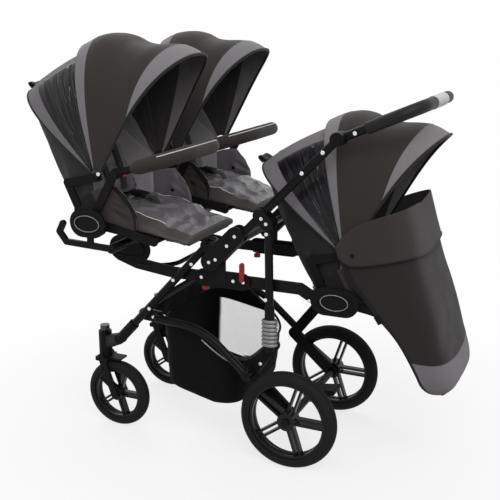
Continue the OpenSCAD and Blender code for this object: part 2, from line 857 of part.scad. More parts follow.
module rear_legs() {
  color("#1b1b1d") placed() both_sides() difference() {
    union() {
      side_plane(tube_y) bar(bracket_p, rear_foot_p + [0, pass_gap], tube_r);
      plate(lug_y, lug_t) circle_at(bracket_p, rear_lug_r);
      translate([rear_foot_p[0], tube_y, rear_foot_z]) cylinder(h = collar_h, r = tube_r + rivet_h);
    }
    rod(bracket_p, tube_y - tube_r - over, tube_d + 2 * over, pin_r + run_gap);
  }
}

// Tubes that carry the basket, from the front legs' pins to the swing arms' pins
module lower_arches() {
  shoulder = [-arch_shoulder_ahead, arch_pin_z - arch_shoulder_drop];
  arch_dir = unit(shoulder - arch_p);
  run_in = arch_p + arch_dir * arch_run_in;
  post_p = run_in + arch_dir * knuckle_r;
  slot_dir = unit(hinge_p - arch_p);
  color("#1b1b1d") placed() both_sides() difference() {
    union() {
      side_plane(tube_y) bent_tube([run_in, shoulder, swing_p], arch_bend_r, tube_r);
      plate(lug_y, lug_t) circle_at(swing_p, knuckle_r);
      plate(eye_y, eye_t) stadium(arch_p, post_p, eye_r);
      rod(post_p, eye_y, tube_y - eye_y, eye_post_r);
    }
    plate(eye_y - over, eye_t + 2 * over)
      stadium(arch_p - slot_dir * arch_slot, arch_p + slot_dir * arch_slot, pin_r + seat_gap);
    rod(swing_p, tube_y - tube_r - over, tube_d + 2 * over, pin_r + run_gap);
  }
}

// Ribbed rubber blocks between the rear legs and the swing arms
module dampers() {
  rib_h = damper_h / rib_count;
  color("#b9bbbe") placed() both_sides() translate([rear_foot_p[0], tube_y, damper_bottom])
    for (i = [0 : rib_count - 1]) translate([0, 0, i * rib_h]) {
      cylinder(h = rib_h, r = tube_r);
      translate([0, 0, rib_h / 4]) cylinder(h = rib_h / 2, r = tube_r + rivet_h);
    }
}

// Cast arms on the arch pins: the axle at one end, the damper's foot at the other
module swing_arms() {
  foot = [rear_foot_p[0], damper_bottom - seat_gap - foot_h];
  color("#222224") placed() both_sides() difference() {
    union() {
      plate(arm_plate_y, arm_plate_t) {
        stadium(swing_p, axle_p, arm_r);
        stadium(swing_p, foot, arm_r - pass_gap);
      }
      rod(foot, arm_plate_y, tube_y - arm_plate_y, foot_r);
      translate([foot[0], tube_y, foot[1] - foot_h]) cylinder(h = 2 * foot_h, r = tube_r + rivet_h);
      rod(swing_p, arm_plate_y, tube_y + tube_r - arm_plate_y, pin_r);
      rod(swing_p, arm_plate_y, tube_y - tube_r - seat_gap - arm_plate_y, knuckle_r);
    }
    rod(axle_p, arm_plate_y - over, arm_plate_t + 2 * over, beam_r + seat_gap);
  }
}

module rear_axle() {
  hub_out = rear_track / 2 + rear_tyre_w / 2;
  beam_out = rear_track / 2 - rear_tyre_w / 2 - wheel_end_gap;
  color("#3a3a3d") placed() {
    rod(axle_p, -beam_out, 2 * beam_out, beam_r);
    rod(axle_p, -hub_out - wheel_end_gap, 2 * (hub_out + wheel_end_gap), axle_r);
    both_sides() rod(axle_p, hub_out + wheel_end_gap, nut_h, nut_r);
  }
}

// Foot pedal that turns about the rear axle
module brake_pedal() {
  tip = axle_p + [pedal_l, pedal_r];
  color("#2a2a2c") placed() difference() {
    union() {
      rod(axle_p, -pedal_w / 2, pedal_w, pedal_r);
      plate(-pedal_w / 2, pedal_w) stadium(axle_p + [pedal_r / 2, pedal_r / 2], tip, pedal_t);
    }
    rod(axle_p, -pedal_w, 2 * pedal_w, beam_r + run_gap);
  }
}

module rear_wheel_at(side) {
  placed() translate([0, side * rear_track / 2, axle_z]) children();
}

module rear_wheel() {
  color("#19191b") spoked_wheel(rear_rim_r, rear_tyre_w, rear_hub_r, rear_tyre_w, axle_r,
                                rear_spoke_gap);
}

module rear_tyre() {
  color("#242426") tyre(rear_wheel_d, rear_tyre_w, rear_rim_r);
}

module left_rear_wheel() rear_wheel_at(-1) rear_wheel();
module right_rear_wheel() rear_wheel_at(1) rear_wheel();
module left_rear_tyre() rear_wheel_at(-1) rear_tyre();
module right_rear_tyre() rear_wheel_at(1) rear_tyre();

// Basket: a tapered cloth tub with round corners and a rim that follows the arches

function basket_ring(share, inset) = let(
    top_z = arch_pin_z - arch_shoulder_drop,
    spread = mix(basket_taper_share, 1, pow(share, basket_flare_share)),
    half_l = basket_l / 2 * spread - inset,
    half_w = basket_w / 2 * spread - inset,
    middle = -basket_front_ahead + basket_l / 2
  ) [for (k = [0 : basket_steps - 1]) let(
    a = 360 * k / basket_steps,
    x = half_l * power_of(cos(a), basket_corner_share),
    rim_fall = max(0, x / half_l) * (top_z - swing_pin_z) * basket_fall_share,
    z = mix(basket_z + inset, top_z - rim_fall, share)
  ) [middle + x, half_w * power_of(sin(a), basket_corner_share), z]];

module basket() {
  shares = [for (i = [0 : basket_rows]) i / basket_rows];
  color("#1f1f20") placed() bag_skin([for (s = shares) basket_ring(s, 0)],
                                     [for (s = shares) basket_ring(s, basket_t)]);
}

// Seats

module seat_frame(i) {
  front = i != 2;
  flange_end = pan_at(pan_l, -board_t / 2);
  color("#232325") at_seat(i) {
    both_sides() {
      plate(flange_y, flange_t) stadium([0, 0], flange_end, flange_r);
      rod([0, 0], flange_y, cup_y - flange_y, boss_r);
      plate(cup_y, plug_t) oval(plug_half, plug_r);
      rod([0, 0], back_arm_y - seat_gap, flange_y - back_arm_y + seat_gap, seat_pin_r);
      if (front) {
        plate(arm_y, arm_t) stadium([0, 0], bumper_p, flange_r);
        rod(bumper_p, arm_y - bumper_hub_t - seat_gap, bumper_hub_t + seat_gap, bumper_pin_r);
      }
    }
    start = pan_at(pan_start, -board_t);
    board_y = flange_y + flange_t / 2;
    translate([start[0], -board_y, start[1]]) rotate([0, pan_tilt, 0])
      cube([pan_l - pan_start - leg_hinge_r * 2 - seat_gap, 2 * board_y, board_t]);
  }
}

module front_left_seat_frame() seat_frame(0);
module front_right_seat_frame() seat_frame(1);
module rear_seat_frame() seat_frame(2);

// A quilted pad in its own frame: x along it, y across, z up from its flat underside
function pad_point(l, w, t, channels, u, v) = let(
    bulge = (1 - pow(2 * u - 1, 6)) * (1 - pow(abs(v), 5)),
    groove = max([for (c = channels) 1 - min(1, abs(u - c) * pad_rows)]),
    pull_x = pad_pull_share * l * (1 - v * v) * (2 * u - 1),
    pull_y = pad_pull_share * w * (1 - pow(2 * u - 1, 2)) * v
  ) [l * u - pull_x, w / 2 * v - pull_y, pad_edge_t + (t - pad_edge_t - channel_depth * groove) * bulge];

function pad_grid(l, w, t, channels, top) = [
  for (i = [0 : pad_rows - 1]) [for (j = [0 : pad_cols - 1]) let(
    p = pad_point(l, w, t, channels, i / (pad_rows - 1), 1 - 2 * j / (pad_cols - 1))
  ) top ? p : [p[0], p[1], 0]]
];

module pad(l, w, t, channels) {
  sheet_skin(pad_grid(l, w, t, channels, true), pad_grid(l, w, t, channels, false));
}

module seat_pad(i) {
  start = pan_at(-pan_start, seat_gap);
  color("#77747c") at_seat(i) translate(lift(start, 0)) rotate([0, pan_tilt, 0])
    pad(pan_l + pan_start - leg_hinge_r, pad_w, pad_t, seat_channel_shares);
}

module front_left_seat_pad() seat_pad(0);
module front_right_seat_pad() seat_pad(1);
module rear_seat_pad() seat_pad(2);

// Leg rest: a padded flap on a hinge rod at the front edge of the pan
module leg_rest(i) {
  l = i == 2 ? rear_leg_rest_l : front_leg_rest_l;
  turn = i == 2 ? rear_leg_angle : 0;
  hinge = pan_at(pan_l, -board_t / 2);
  color("#3a383a") at_seat(i) {
    rod(hinge, -flange_y + seat_gap, 2 * (flange_y - seat_gap), leg_hinge_r);
    translate(lift(hinge, 0)) rotate([0, pan_tilt + turn, 0]) {
      translate([0, -leg_board_w / 2, -leg_board_t]) cube([l, leg_board_w, leg_board_t]);
      translate([leg_hinge_r + seat_gap, 0, seat_gap]) pad(l, pad_w, leg_rest_t, leg_channel_shares);
    }
  }
}

module front_left_leg_rest() leg_rest(0);
module front_right_leg_rest() leg_rest(1);
module rear_leg_rest() leg_rest(2);

// Back frame: two arms on the hub pins, cross rods, a board and the pins of the canopy
module back_frame(i) {
  foot = back_at(back_start, -back_setback);
  elbow = back_at(back_elbow, -back_setback);
  color("#232325") at_seat(i) {
    both_sides() {
      difference() {
        plate(back_arm_y, back_arm_t) {
          stadium([0, 0], foot, back_foot_r);
          stadium(foot, elbow, flange_r);
          stadium(elbow, pivot_p, flange_r);
        }
        rod([0, 0], back_arm_y - over, back_arm_t + 2 * over, seat_pin_r + run_gap);
      }
      rod(pivot_p, back_arm_y, canopy_w / 2 + plate_gap * 2 - back_arm_y, pivot_r);
    }
    for (run = [back_start + back_rod_r * 2, back_elbow])
      rod(back_at(run, -back_setback - back_rod_r + board_t * back_rod_share), -back_arm_y - back_arm_t / 2,
          2 * back_arm_y + back_arm_t, back_rod_r);
    translate([foot[0], -back_w / 2, foot[1]]) rotate([0, -back_lean, 0])
      translate([-board_t / 2, 0, 0]) cube([board_t, back_w, back_l - back_start]);
  }
}

module front_left_back_frame() back_frame(0);
module front_right_back_frame() back_frame(1);
module rear_back_frame() back_frame(2);

module back_pad(i) {
  start = back_at(back_start, -back_setback + board_t / 2 + seat_gap);
  color("#77747c") at_seat(i) translate(lift(start, 0)) rotate([180, -90 - back_lean, 0])
    pad(back_l - back_start, back_w, pad_t, back_channel_shares);
}

module front_left_back_pad() back_pad(0);
module front_right_back_pad() back_pad(1);
module rear_back_pad() back_pad(2);

// Canopies: bows fan out from the pivot, and each bow is a round-cornered arch

function bow_row(half_w, r, a, lean) = [
  for (k = [-bow_half_steps : bow_half_steps]) let(
    s = 90 * k / bow_half_steps,
    reach = bow_base + (r - bow_base) * pow(cos(s), bow_power_share),
    turn = a - lean * pow(cos(s), 2)
  ) [pivot_p[0] + reach * cos(turn), half_w * power_of(sin(s), bow_power_share),
     pivot_p[1] + reach * sin(turn)]
];

function canopy_grid(half_w, r_from, r_to, a_from, a_to, lean, hump, sink) = [
  for (i = [0 : canopy_rows - 1]) let(
    t = i / (canopy_rows - 1),
    swell = sin(180 * t) * (hump * (cos(360 * (t - hump_share)) - hump_sink_share) - sink)
  ) bow_row(half_w, mix(r_from, r_to, t) + swell, mix(a_from, a_to, t), lean * pow(1 - t, 2))
];

module canopy_shell(half_w, r_from, r_to, a_from, a_to, lean, hump, sink) {
  difference() {
    union() {
      sheet_skin(canopy_grid(half_w, r_from, r_to, a_from, a_to, lean, hump, sink),
                 canopy_grid(half_w - cloth_t, r_from - cloth_t, r_to - cloth_t, a_from, a_to, lean, hump,
                             sink));
      both_sides() rod(pivot_p, half_w - cloth_t, cloth_t, ear_r);
    }
    rod(pivot_p, -half_w - over, 2 * (half_w + over), pivot_r + run_gap);
  }
}

module canopy_rear(i) {
  color("#5d5a5e") at_seat(i) canopy_shell(rear_canopy_w / 2, rear_canopy_r, canopy_back_r,
    canopy_split_a, canopy_back_a, 0, 0, back_sink);
}

module canopy_front(i) {
  color("#3b3836") at_seat(i) canopy_shell(canopy_w / 2, canopy_rim_r, canopy_mid_r,
    canopy_rim_a, canopy_split_a + canopy_lap_a, visor_a, hump_h, 0);
}

module front_left_canopy_rear() canopy_rear(0);
module front_right_canopy_rear() canopy_rear(1);
module rear_canopy_rear() canopy_rear(2);
module front_left_canopy_front() canopy_front(0);
module front_right_canopy_front() canopy_front(1);
module rear_canopy_front() canopy_front(2);

// Padded bar in front of each front seat
module bumper(i) {
  half = arm_y - seat_gap - bumper_r;
  hub_in = arm_y - seat_gap - bumper_hub_t;
  pad_start = bumper_reach * bumper_pad_share;
  pad_route = [[pad_start, -half], [bumper_reach, -half], [bumper_reach, half], [pad_start, half]];
  color("#2b292a") at_seat(i) translate(lift(bumper_p, 0)) rotate([0, -bumper_tilt, 0]) difference() {
    union() {
      both_sides() {
        rod([0, 0], hub_in, bumper_hub_t, bumper_hub_r);
        bar([0, half], [pad_start + bumper_r, half], bumper_r);
      }
      bent_tube(pad_route, bumper_bend_r, bumper_pad_r);
    }
    both_sides() rod([0, 0], half - bumper_r - over, 2 * (bumper_r + over), bumper_pin_r + run_gap);
  }
}

module front_left_bumper() bumper(0);
module front_right_bumper() bumper(1);

// Foot muff: an apron round the front of the rear seat that closes to a pocket at the toes

function muff_row(k, inset) = let(
    rear = [for (c = [0, 1]) muff_rear_run_shares[k][c] * [muff_reach, muff_drop][c]],
    front = [for (c = [0, 1]) muff_front_run_shares[k][c] * [muff_reach, muff_drop][c]],
    depth = norm(front - rear),
    shrink = 1 - muff_shrink_share * pow(k / (muff_rows - 1), 6),
    half_w = muff_w / 2 * shrink - inset,
    tip = front - unit(front - rear) * inset
  ) [for (j = [-muff_half_steps : muff_half_steps]) let(
    s = -90 * j / muff_half_steps,
    p = mix(rear, tip, pow(cos(s), muff_power_share))
  ) [p[0], half_w * power_of(sin(s), muff_power_share), p[1]]];

module foot_muff() {
  color("#3b3836") at_seat(2) sheet_skin([for (k = [0 : muff_rows - 1]) muff_row(k, 0)],
                                         [for (k = [0 : muff_rows - 1]) muff_row(k, muff_t)]);
}

push_tubes();
hinge_plates();
seat_rails();
rail_covers();
seat_cups();
seat_carrier();
seat_hubs();
frame_rivets();
rail_knobs();
handle_bar();
handle_grip();
left_handle_button();
right_handle_button();
left_lock_lever();
right_lock_lever();
front_legs();
steering_heads();
left_swivel_button();
right_swivel_button();
left_fork();
right_fork();
left_front_wheel();
right_front_wheel();
left_front_tyre();
right_front_tyre();
rear_legs();
lower_arches();
basket();
dampers();
swing_arms();
rear_axle();
brake_pedal();
left_rear_wheel();
right_rear_wheel();
left_rear_tyre();
right_rear_tyre();
front_left_seat_frame();
front_right_seat_frame();
rear_seat_frame();
front_left_seat_pad();
front_right_seat_pad();
rear_seat_pad();
front_left_leg_rest();
front_right_leg_rest();
rear_leg_rest();
front_left_back_frame();
front_right_back_frame();
rear_back_frame();
front_left_back_pad();
front_right_back_pad();
rear_back_pad();
front_left_canopy_rear();
front_right_canopy_rear();
rear_canopy_rear();
front_left_canopy_front();
front_right_canopy_front();
rear_canopy_front();
front_left_bumper();
front_right_bumper();
foot_muff();
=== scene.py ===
import json
from math import cos, exp, pi, radians, sin

import bmesh
import bpy
from mathutils import Matrix, Vector, noise


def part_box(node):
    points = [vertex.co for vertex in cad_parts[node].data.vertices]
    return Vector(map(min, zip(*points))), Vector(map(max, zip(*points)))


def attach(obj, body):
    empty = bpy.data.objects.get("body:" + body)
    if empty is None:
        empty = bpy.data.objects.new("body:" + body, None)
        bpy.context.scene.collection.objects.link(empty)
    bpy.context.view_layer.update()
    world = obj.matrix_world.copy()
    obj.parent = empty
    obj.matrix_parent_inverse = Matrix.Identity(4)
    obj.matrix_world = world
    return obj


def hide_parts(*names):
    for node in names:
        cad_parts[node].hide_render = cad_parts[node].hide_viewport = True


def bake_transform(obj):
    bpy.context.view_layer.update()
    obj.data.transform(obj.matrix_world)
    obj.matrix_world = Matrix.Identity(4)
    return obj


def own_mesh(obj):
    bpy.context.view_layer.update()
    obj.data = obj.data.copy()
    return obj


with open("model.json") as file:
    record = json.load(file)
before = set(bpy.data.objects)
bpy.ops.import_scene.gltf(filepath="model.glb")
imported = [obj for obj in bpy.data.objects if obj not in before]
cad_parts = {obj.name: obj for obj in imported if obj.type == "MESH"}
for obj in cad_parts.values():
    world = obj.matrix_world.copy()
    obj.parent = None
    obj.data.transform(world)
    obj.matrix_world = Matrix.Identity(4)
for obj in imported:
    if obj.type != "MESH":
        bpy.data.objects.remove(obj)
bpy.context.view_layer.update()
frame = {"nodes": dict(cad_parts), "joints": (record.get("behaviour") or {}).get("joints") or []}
joints = {joint["name"]: joint for joint in frame["joints"]}
nodes = frame["nodes"]

# The stage: a pale studio floor that fades to white, soft daylight all round, a large lamp over the
# front of the stroller and a weaker one behind it. The camera stands where the photograph was taken.


class Value:
    """A shader value. Sums and products on it add Math nodes, and node() adds any other node."""

    def __init__(self, tree, socket):
        self.tree = tree
        self.socket = socket

    def node(self, kind, settings=None, inputs=None, output=0):
        made = self.tree.nodes.new("ShaderNode" + kind)
        for name, setting in (settings or {}).items():
            setattr(made, name, setting)
        for key, given in (inputs or {}).items():
            if isinstance(given, Value):
                self.tree.links.new(given.socket, made.inputs[key])
            else:
                made.inputs[key].default_value = given
        return Value(self.tree, made.outputs[output])

    def maths(self, operation, first, second=0.0):
        return self.node("Math", {"operation": operation}, {0: first, 1: second})

    def __add__(self, other):
        return self.maths("ADD", self, other)

    def __sub__(self, other):
        return self.maths("SUBTRACT", self, other)

    def __rsub__(self, other):
        return self.maths("SUBTRACT", other, self)

    def __mul__(self, other):
        return self.maths("MULTIPLY", self, other)

    def __gt__(self, other):
        return self.maths("GREATER_THAN", self, other)

    __radd__ = __add__
    __rmul__ = __mul__

    def absolute(self):
        return self.maths("ABSOLUTE", self)

    def sine(self):
        return self.maths("SINE", self)

    def step(self, low, high):
        """0 below low, 1 above high and smooth between them."""
        return self.node("MapRange", {"interpolation_type": "SMOOTHSTEP"}, {0: self, 1: low, 2: high})

    def mix(self, first, second):
        """The first colour where this value is 0, and the second where it is 1."""
        colours = [c if isinstance(c, Value) else (*c, 1) for c in (first, second)]
        return self.node("Mix", {"data_type": "RGBA"}, {0: self, 6: colours[0], 7: colours[1]}, 2)

    def axes(self):
        split = self.tree.nodes.new("ShaderNodeSeparateXYZ")
        self.tree.links.new(self.socket, split.inputs[0])
        return [Value(self.tree, out) for out in split.outputs]

    def grain(self, scale, detail=2.0):
        return self.node("TexNoise", None, {"Vector": self, "Scale": scale, "Detail": detail})

    def bump(self, distance, strength=1.0):
        return self.node("Bump", None, {"Strength": strength, "Distance": distance, "Height": self})


def new_finish(name, **constants):
    """A material, its shader, and the object coordinates and UVs that its pattern reads."""
    material = bpy.data.materials.new(name)
    material.use_nodes = True
    shader = material.node_tree.nodes["Principled BSDF"]
    for socket, constant in constants.items():
        shader.inputs[socket.replace("_", " ")].default_value = constant
    places = material.node_tree.nodes.new("ShaderNodeTexCoord")
    objects = Value(material.node_tree, places.outputs["Object"])
    return material, shader, objects, Value(material.node_tree, places.outputs["UV"])


def feed(shader, **varying):
    for socket, value in varying.items():
        value.tree.links.new(value.socket, shader.inputs[socket.replace("_", " ")])


scene = bpy.context.scene
scene.view_settings.view_transform = "Standard"
floor_white = 0.86
fade_start, fade_end = 0.55, 1.5
shadow_share = 0.24
day_strength, backdrop_strength = 0.62, 1.0

bm = bmesh.new()
bmesh.ops.create_grid(bm, x_segments=2, y_segments=2, size=fade_end * 4)
floor_mesh = bpy.data.meshes.new("floor")
bm.to_mesh(floor_mesh)
bm.free()
floor = bpy.data.objects.new("floor", floor_mesh)
scene.collection.objects.link(floor)
paper, shader, places, _ = new_finish("floor paper", Base_Color=(floor_white, floor_white, floor_white, 1),
                                      Roughness=0.9)
distance = places.node("VectorMath", {"operation": "LENGTH"}, {0: places}, 1)


def looked_at(tree):
    """1 for a ray from the camera, straight or by a mirror or a pane, and 0 for light on the object."""
    ray = tree.nodes.new("ShaderNodeLightPath")
    camera, glossy, through = (Value(tree, ray.outputs["Is " + kind + " Ray"])
                               for kind in ("Camera", "Glossy", "Transmission"))
    return camera + glossy + through


seen = looked_at(places.tree)
white = places.node("Emission", None, {"Color": (1, 1, 1, 1), "Strength": seen * backdrop_strength})
lit = Value(places.tree, shader.outputs[0])
fade = distance.step(fade_start, fade_end) * shadow_share + (1 - shadow_share)
faded = places.node("MixShader", None, {0: fade, 1: lit, 2: white})
places.tree.links.new(faded.socket, places.tree.nodes["Material Output"].inputs[0])
floor_mesh.materials.append(paper)

world = bpy.data.worlds.new("studio")
world.use_nodes = True
scene.world = world
sky = world.node_tree.nodes["Background"]
seen = looked_at(world.node_tree)
feed(sky, Strength=seen * (backdrop_strength - day_strength) + day_strength)
sky.inputs["Color"].default_value = (1, 1, 1, 1)

for name, place, target, size, power in (
    ("key", (1.6, -2.4, 3.0), (0, 0, 0.5), 2.2, 62),
    ("back", (-2.2, 1.6, 2.6), (0, 0, 0.6), 1.8, 26),
):
    lamp = bpy.data.lights.new(name, "AREA")
    lamp.size = size
    lamp.energy = power
    lamp_object = bpy.data.objects.new(name, lamp)
    lamp_object.location = place
    lamp_object.rotation_euler = (Vector(target) - Vector(place)).to_track_quat("-Z", "Y").to_euler()
    scene.collection.objects.link(lamp_object)

camera_place, camera_down, camera_turn = (1.0207, -2.3767, 1.2912), 15.1, 23.9
sensor_width, focal_length = 36, 62.17
camera = bpy.data.objects.new("camera", bpy.data.cameras.new("camera"))
camera.location = camera_place
camera.rotation_euler = (radians(90 - camera_down), 0, radians(camera_turn))
camera.data.sensor_width = sensor_width
camera.data.lens = focal_length
scene.collection.objects.link(camera)
scene.camera = camera

# The frame: steel and aluminium tubes, flat rails and hinge plates, powder coated near-black. The coat
# is satin with a faint orange peel, and rubbed a little brighter in patches by hands and shoes.


def dress(material, *names):
    for name in names:
        nodes[name].data.materials.clear()
        nodes[name].data.materials.append(material)


def clouded(name, cloud, dark, light, roughness, skin=None, drift=0.2, **constants):
    """A finish whose tone and gloss drift in soft clouds, under a fine skin where one is given."""
    material, shader, places, _ = new_finish(name, **constants)
    shade = places.grain(*cloud)
    feed(shader, Base_Color=shade.mix(dark, light), Roughness=shade * drift + roughness)
    if skin:
        scale, distance, strength = skin
        feed(shader, Normal=places.grain(scale).bump(distance, strength))
    return material


coat = clouded("frame coat", (9.0, 4.0), (0.0035, 0.0034, 0.0034), (0.0075, 0.0073, 0.0073), 0.26,
               skin=(900.0, 0.00025, 0.35), drift=0.25, Specular_IOR_Level=0.11)
dress(coat, "push_tubes", "hinge_plates", "seat_rails", "seat_carrier", "front_legs", "rear_legs",
      "lower_arches", "handle_bar", "rear_axle")

# Moulded parts: cups, covers, heads, forks, arms, pans and back shells in fine-grained black nylon,
# with a matte spark-eroded skin that scatters a soft highlight.
black_dark, black_light = (0.0045, 0.0044, 0.0044), (0.009, 0.0088, 0.0088)
seats = ("front_left", "front_right", "rear")
nylon = clouded("moulded nylon", (30.0, 3.0), black_dark, black_light, 0.42,
                skin=(2400.0, 0.0003, 0.5), Specular_IOR_Level=0.09)
dress(nylon, "rail_covers", "seat_cups", "seat_hubs", "steering_heads", "left_fork", "right_fork",
      "swing_arms", "brake_pedal", "left_handle_button", "right_handle_button")
dress(nylon, *(seat + part for seat in seats for part in ("_seat_frame", "_back_frame")))

# Wheels: moulded rims with twin-bar spokes in smooth black nylon, and dark tyres with a grooved tread
# and fine ribs round the sidewall.
rim_nylon = clouded("wheel nylon", (26.0, 3.0), black_dark, black_light, 0.25, Specular_IOR_Level=0.2)
dress(rim_nylon, "left_front_wheel", "right_front_wheel", "left_rear_wheel", "right_rear_wheel")

for axle in ("front", "rear"):
    low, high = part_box("left_" + axle + "_tyre")
    centre = (low + high) / 2
    rubber, shader, places, _ = new_finish(axle + " tyre rubber", Specular_IOR_Level=0.12)
    x, y, z = places.axes()
    dx = x - centre.x
    dz = z - centre.z
    radius = places.maths("SQRT", dx * dx + dz * dz)
    rings = (radius * 2600.0).sine()
    dust = places.grain(45.0, 5.0)
    feed(shader, Base_Color=dust.mix((0.009, 0.009, 0.009), (0.020, 0.0195, 0.0195)),
         Roughness=dust * 0.25 + 0.6, Normal=(rings * 0.5 + places.grain(700.0)).bump(0.0004, 0.5))
    dress(rubber, "left_" + axle + "_tyre", "right_" + axle + "_tyre")

# Trim: polished rivets, grey caps on the swivel heads, red grips on the lock bolts and levers, and a
# grained cover on the handle.
bright, shader, places, _ = new_finish("bright metal", Metallic=1.0, Base_Color=(0.70, 0.71, 0.73, 1))
feed(shader, Roughness=places.grain(160.0, 3.0) * 0.25 + 0.16)
dress(bright, "frame_rivets")
cap_grey = clouded("cap grey", (70.0, 3.0), (0.035, 0.035, 0.036), (0.075, 0.075, 0.077), 0.3,
                   Specular_IOR_Level=0.4)
dress(cap_grey, "left_swivel_button", "right_swivel_button")
red = clouded("red grips", (80.0, 2.0), (0.20, 0.004, 0.008), (0.30, 0.008, 0.014), 0.3)
dress(red, "rail_knobs", "left_lock_lever", "right_lock_lever")

grip_cover, shader, places, _ = new_finish("grip cover", Specular_IOR_Level=0.25)
pores = places.node("TexVoronoi", None, {"Vector": places, "Scale": 520.0})
feed(shader, Base_Color=pores.mix((0.003, 0.003, 0.003), (0.007, 0.007, 0.007)),
     Roughness=pores * 0.25 + 0.38, Normal=pores.bump(0.0006, 0.5))
dress(grip_cover, "handle_grip")

# Canopies: each hood is sewn from charcoal and grey polyester over bent bows that turn on pins of the back
# frame. The front half folds back over the rear half, which has a dark film window between grey bands.
charcoal_dark, charcoal_light = (0.022, 0.0184, 0.0168), (0.037, 0.0312, 0.0288)
grey_dark, grey_light = (0.170, 0.160, 0.169), (0.245, 0.232, 0.243)
film_dark, film_light = (0.005, 0.0043, 0.0053), (0.014, 0.012, 0.0148)
satin_dark, satin_light = (0.115, 0.108, 0.117), (0.185, 0.175, 0.188)
lining_dark, lining_light = (0.030, 0.0265, 0.029), (0.055, 0.050, 0.054)
shade_dark, shade_light = (0.23, 0.22, 0.23), (0.33, 0.315, 0.33)
cloth_thick, thin_cloth = 0.0024, 0.0016
bow_base, front_power, rear_powers, lean_power = 0.022, 0.7, (0.7, 0.74), 2.2
bow_columns, hood_rows = 72, 52
hood_half, hood_reach, hood_start, hood_sweep, hood_lean = 0.176, 0.387, 61, 44, 6.5
rim_round, rim_share, skirt_reach = 0.10, 0.45, 0.008
window_half, window_reach, window_reaches, window_dip = 0.1696, 0.367, (0.3596, 0.374), 0.015
rear_bow_start, rear_bow_sweep = 97, 46
visor_share, visor_reach = 0.16, 0.64
crest_line = [(reach,) for reach in (0.406, 0.400, 0.385, 0.370, 0.368, 0.380, 0.387, 0.382, 0.374)]
crest_share = 0.235
band_seam, seam_half, seam_width = 0.839, 0.003, 0.012
pane_start, pane_end, pane_stitch = 0.150, 0.80, 0.008
piping_radius, hem_radius = 0.0042, 0.0028
tab_w, tab_reach = 0.062, 0.377
sides = ((-1, "left"), (1, "right"))


def new_piece(name, bm, body, slot, *materials):
    """An object of its own made from a bmesh, in the shared frame, riding on a body."""
    mesh = bpy.data.meshes.new(name)
    bm.to_mesh(mesh)
    bm.free()
    for material in materials:
        mesh.materials.append(material)
    mesh.shade_smooth()
    piece = bpy.data.objects.new(name, mesh)
    scene.collection.objects.link(piece)
    if body:
        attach(piece, body)
    return piece


def cloth_grid(columns, rows, shape, outside):
    """A grid of cloth with its own UVs. The point at (u, v) goes to shape(u, v) and faces outside."""
    bm = bmesh.new()
    bm.loops.layers.uv.new("UVMap")
    bmesh.ops.create_grid(bm, x_segments=columns, y_segments=rows, size=0.5, calc_uvs=True)
    for vertex in bm.verts:
        vertex.co = shape(vertex.co.x + 0.5, vertex.co.y + 0.5)
    bm.normal_update()
    if sum(face.normal.dot(Vector(outside)) * face.calc_area() for face in bm.faces) < 0:
        bmesh.ops.reverse_faces(bm, faces=bm.faces[:])
    return bm


def cloth_area(bm):
    return sum(face.calc_area() for face in bm.faces)


def thicken(piece, thickness):
    wall = piece.modifiers.new("wall", "SOLIDIFY")
    wall.thickness = thickness
    wall.offset = -1
    wall.material_offset = 1
    wall.material_offset_rim = 1


def cloth_piece(name, grid, shape, outside, body, slot, thickness, *materials):
    """A sheet of cloth made from a grid, lined on the inside, and the area of its outside."""
    bm = cloth_grid(*grid, shape, outside)
    area = cloth_area(bm)
    piece = new_piece(name, bm, body, slot, *materials)
    thicken(piece, thickness)
    return piece, area


def joint_at(name):
    return Vector(joints[name]["pos_m"])


def cross_line(shape, v, count):
    """Points across a cloth from one side to the other, at v along it."""
    return [shape(k / count, v) for k in range(count + 1)]


def run_length(points):
    return sum((after - before).length for before, after in zip(points, points[1:]))


def clamp(value):
    return min(1, max(0, value))


def piping(name, points, radius, body, material, closed=False):
    """A round edge or rod that follows the points."""
    curve = bpy.data.curves.new(name, "CURVE")
    curve.dimensions = "3D"
    curve.bevel_depth = radius
    curve.bevel_resolution = 6
    curve.use_fill_caps = True
    line = curve.splines.new("POLY")
    line.points.add(len(points) - 1)
    for place, point in zip(line.points, points):
        place.co = (*point, 1)
    line.use_cyclic_u = closed
    line.use_smooth = True
    curve.materials.append(material)
    piece = bpy.data.objects.new(name, curve)
    scene.collection.objects.link(piece)
    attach(piece, body)
    return piece


def threads(places):
    """Shade and height of a plain weave with slubs, 1.2 mm from thread to thread."""
    x, y, z = places.axes()
    warp = ((x + y * 0.4) * 5200.0).sine()
    weft = ((z + y * 0.9) * 5200.0).sine()
    slub = places.grain(420.0, 3.0)
    return slub * 0.6 + places.grain(7.0, 3.0) * 0.4, warp * weft * 0.5 + slub * 0.7


def woven(name, roughness, tone):
    """Plain-woven polyester. Its colour is tone(shade, uv), from the shade of its threads and its UVs."""
    material, shader, places, uv = new_finish(name, Sheen_Weight=0.12, Sheen_Roughness=0.5,
                                              Specular_IOR_Level=0.25)
    shade, height = threads(places)
    feed(shader, Base_Color=tone(shade, uv), Roughness=shade * 0.15 + roughness,
         Normal=height.bump(0.0004, 0.45))
    return material


def plain_cloth(name, dark, light, roughness):
    return woven(name, roughness, lambda shade, uv: shade.mix(dark, light))


lining = plain_cloth("dark lining", lining_dark, lining_light, 0.7)


def banded_lining(name, seam, before, after):
    """Lining that changes from one pair of tones to another at a seam across the hood."""
    material, shader, places, uv = new_finish(name, Specular_IOR_Level=0.3)
    part = uv.axes()[1].step(seam, seam + 0.01)
    shade, height = threads(places)
    tone = shade.mix(part.mix(before[0], after[0]), part.mix(before[1], after[1]))
    feed(shader, Base_Color=tone, Roughness=shade * 0.2 + 0.5,
         Normal=(height * 0.0003 + places.grain(20.0, 3.0) * 0.01).bump(1.0, 0.5))
    return material


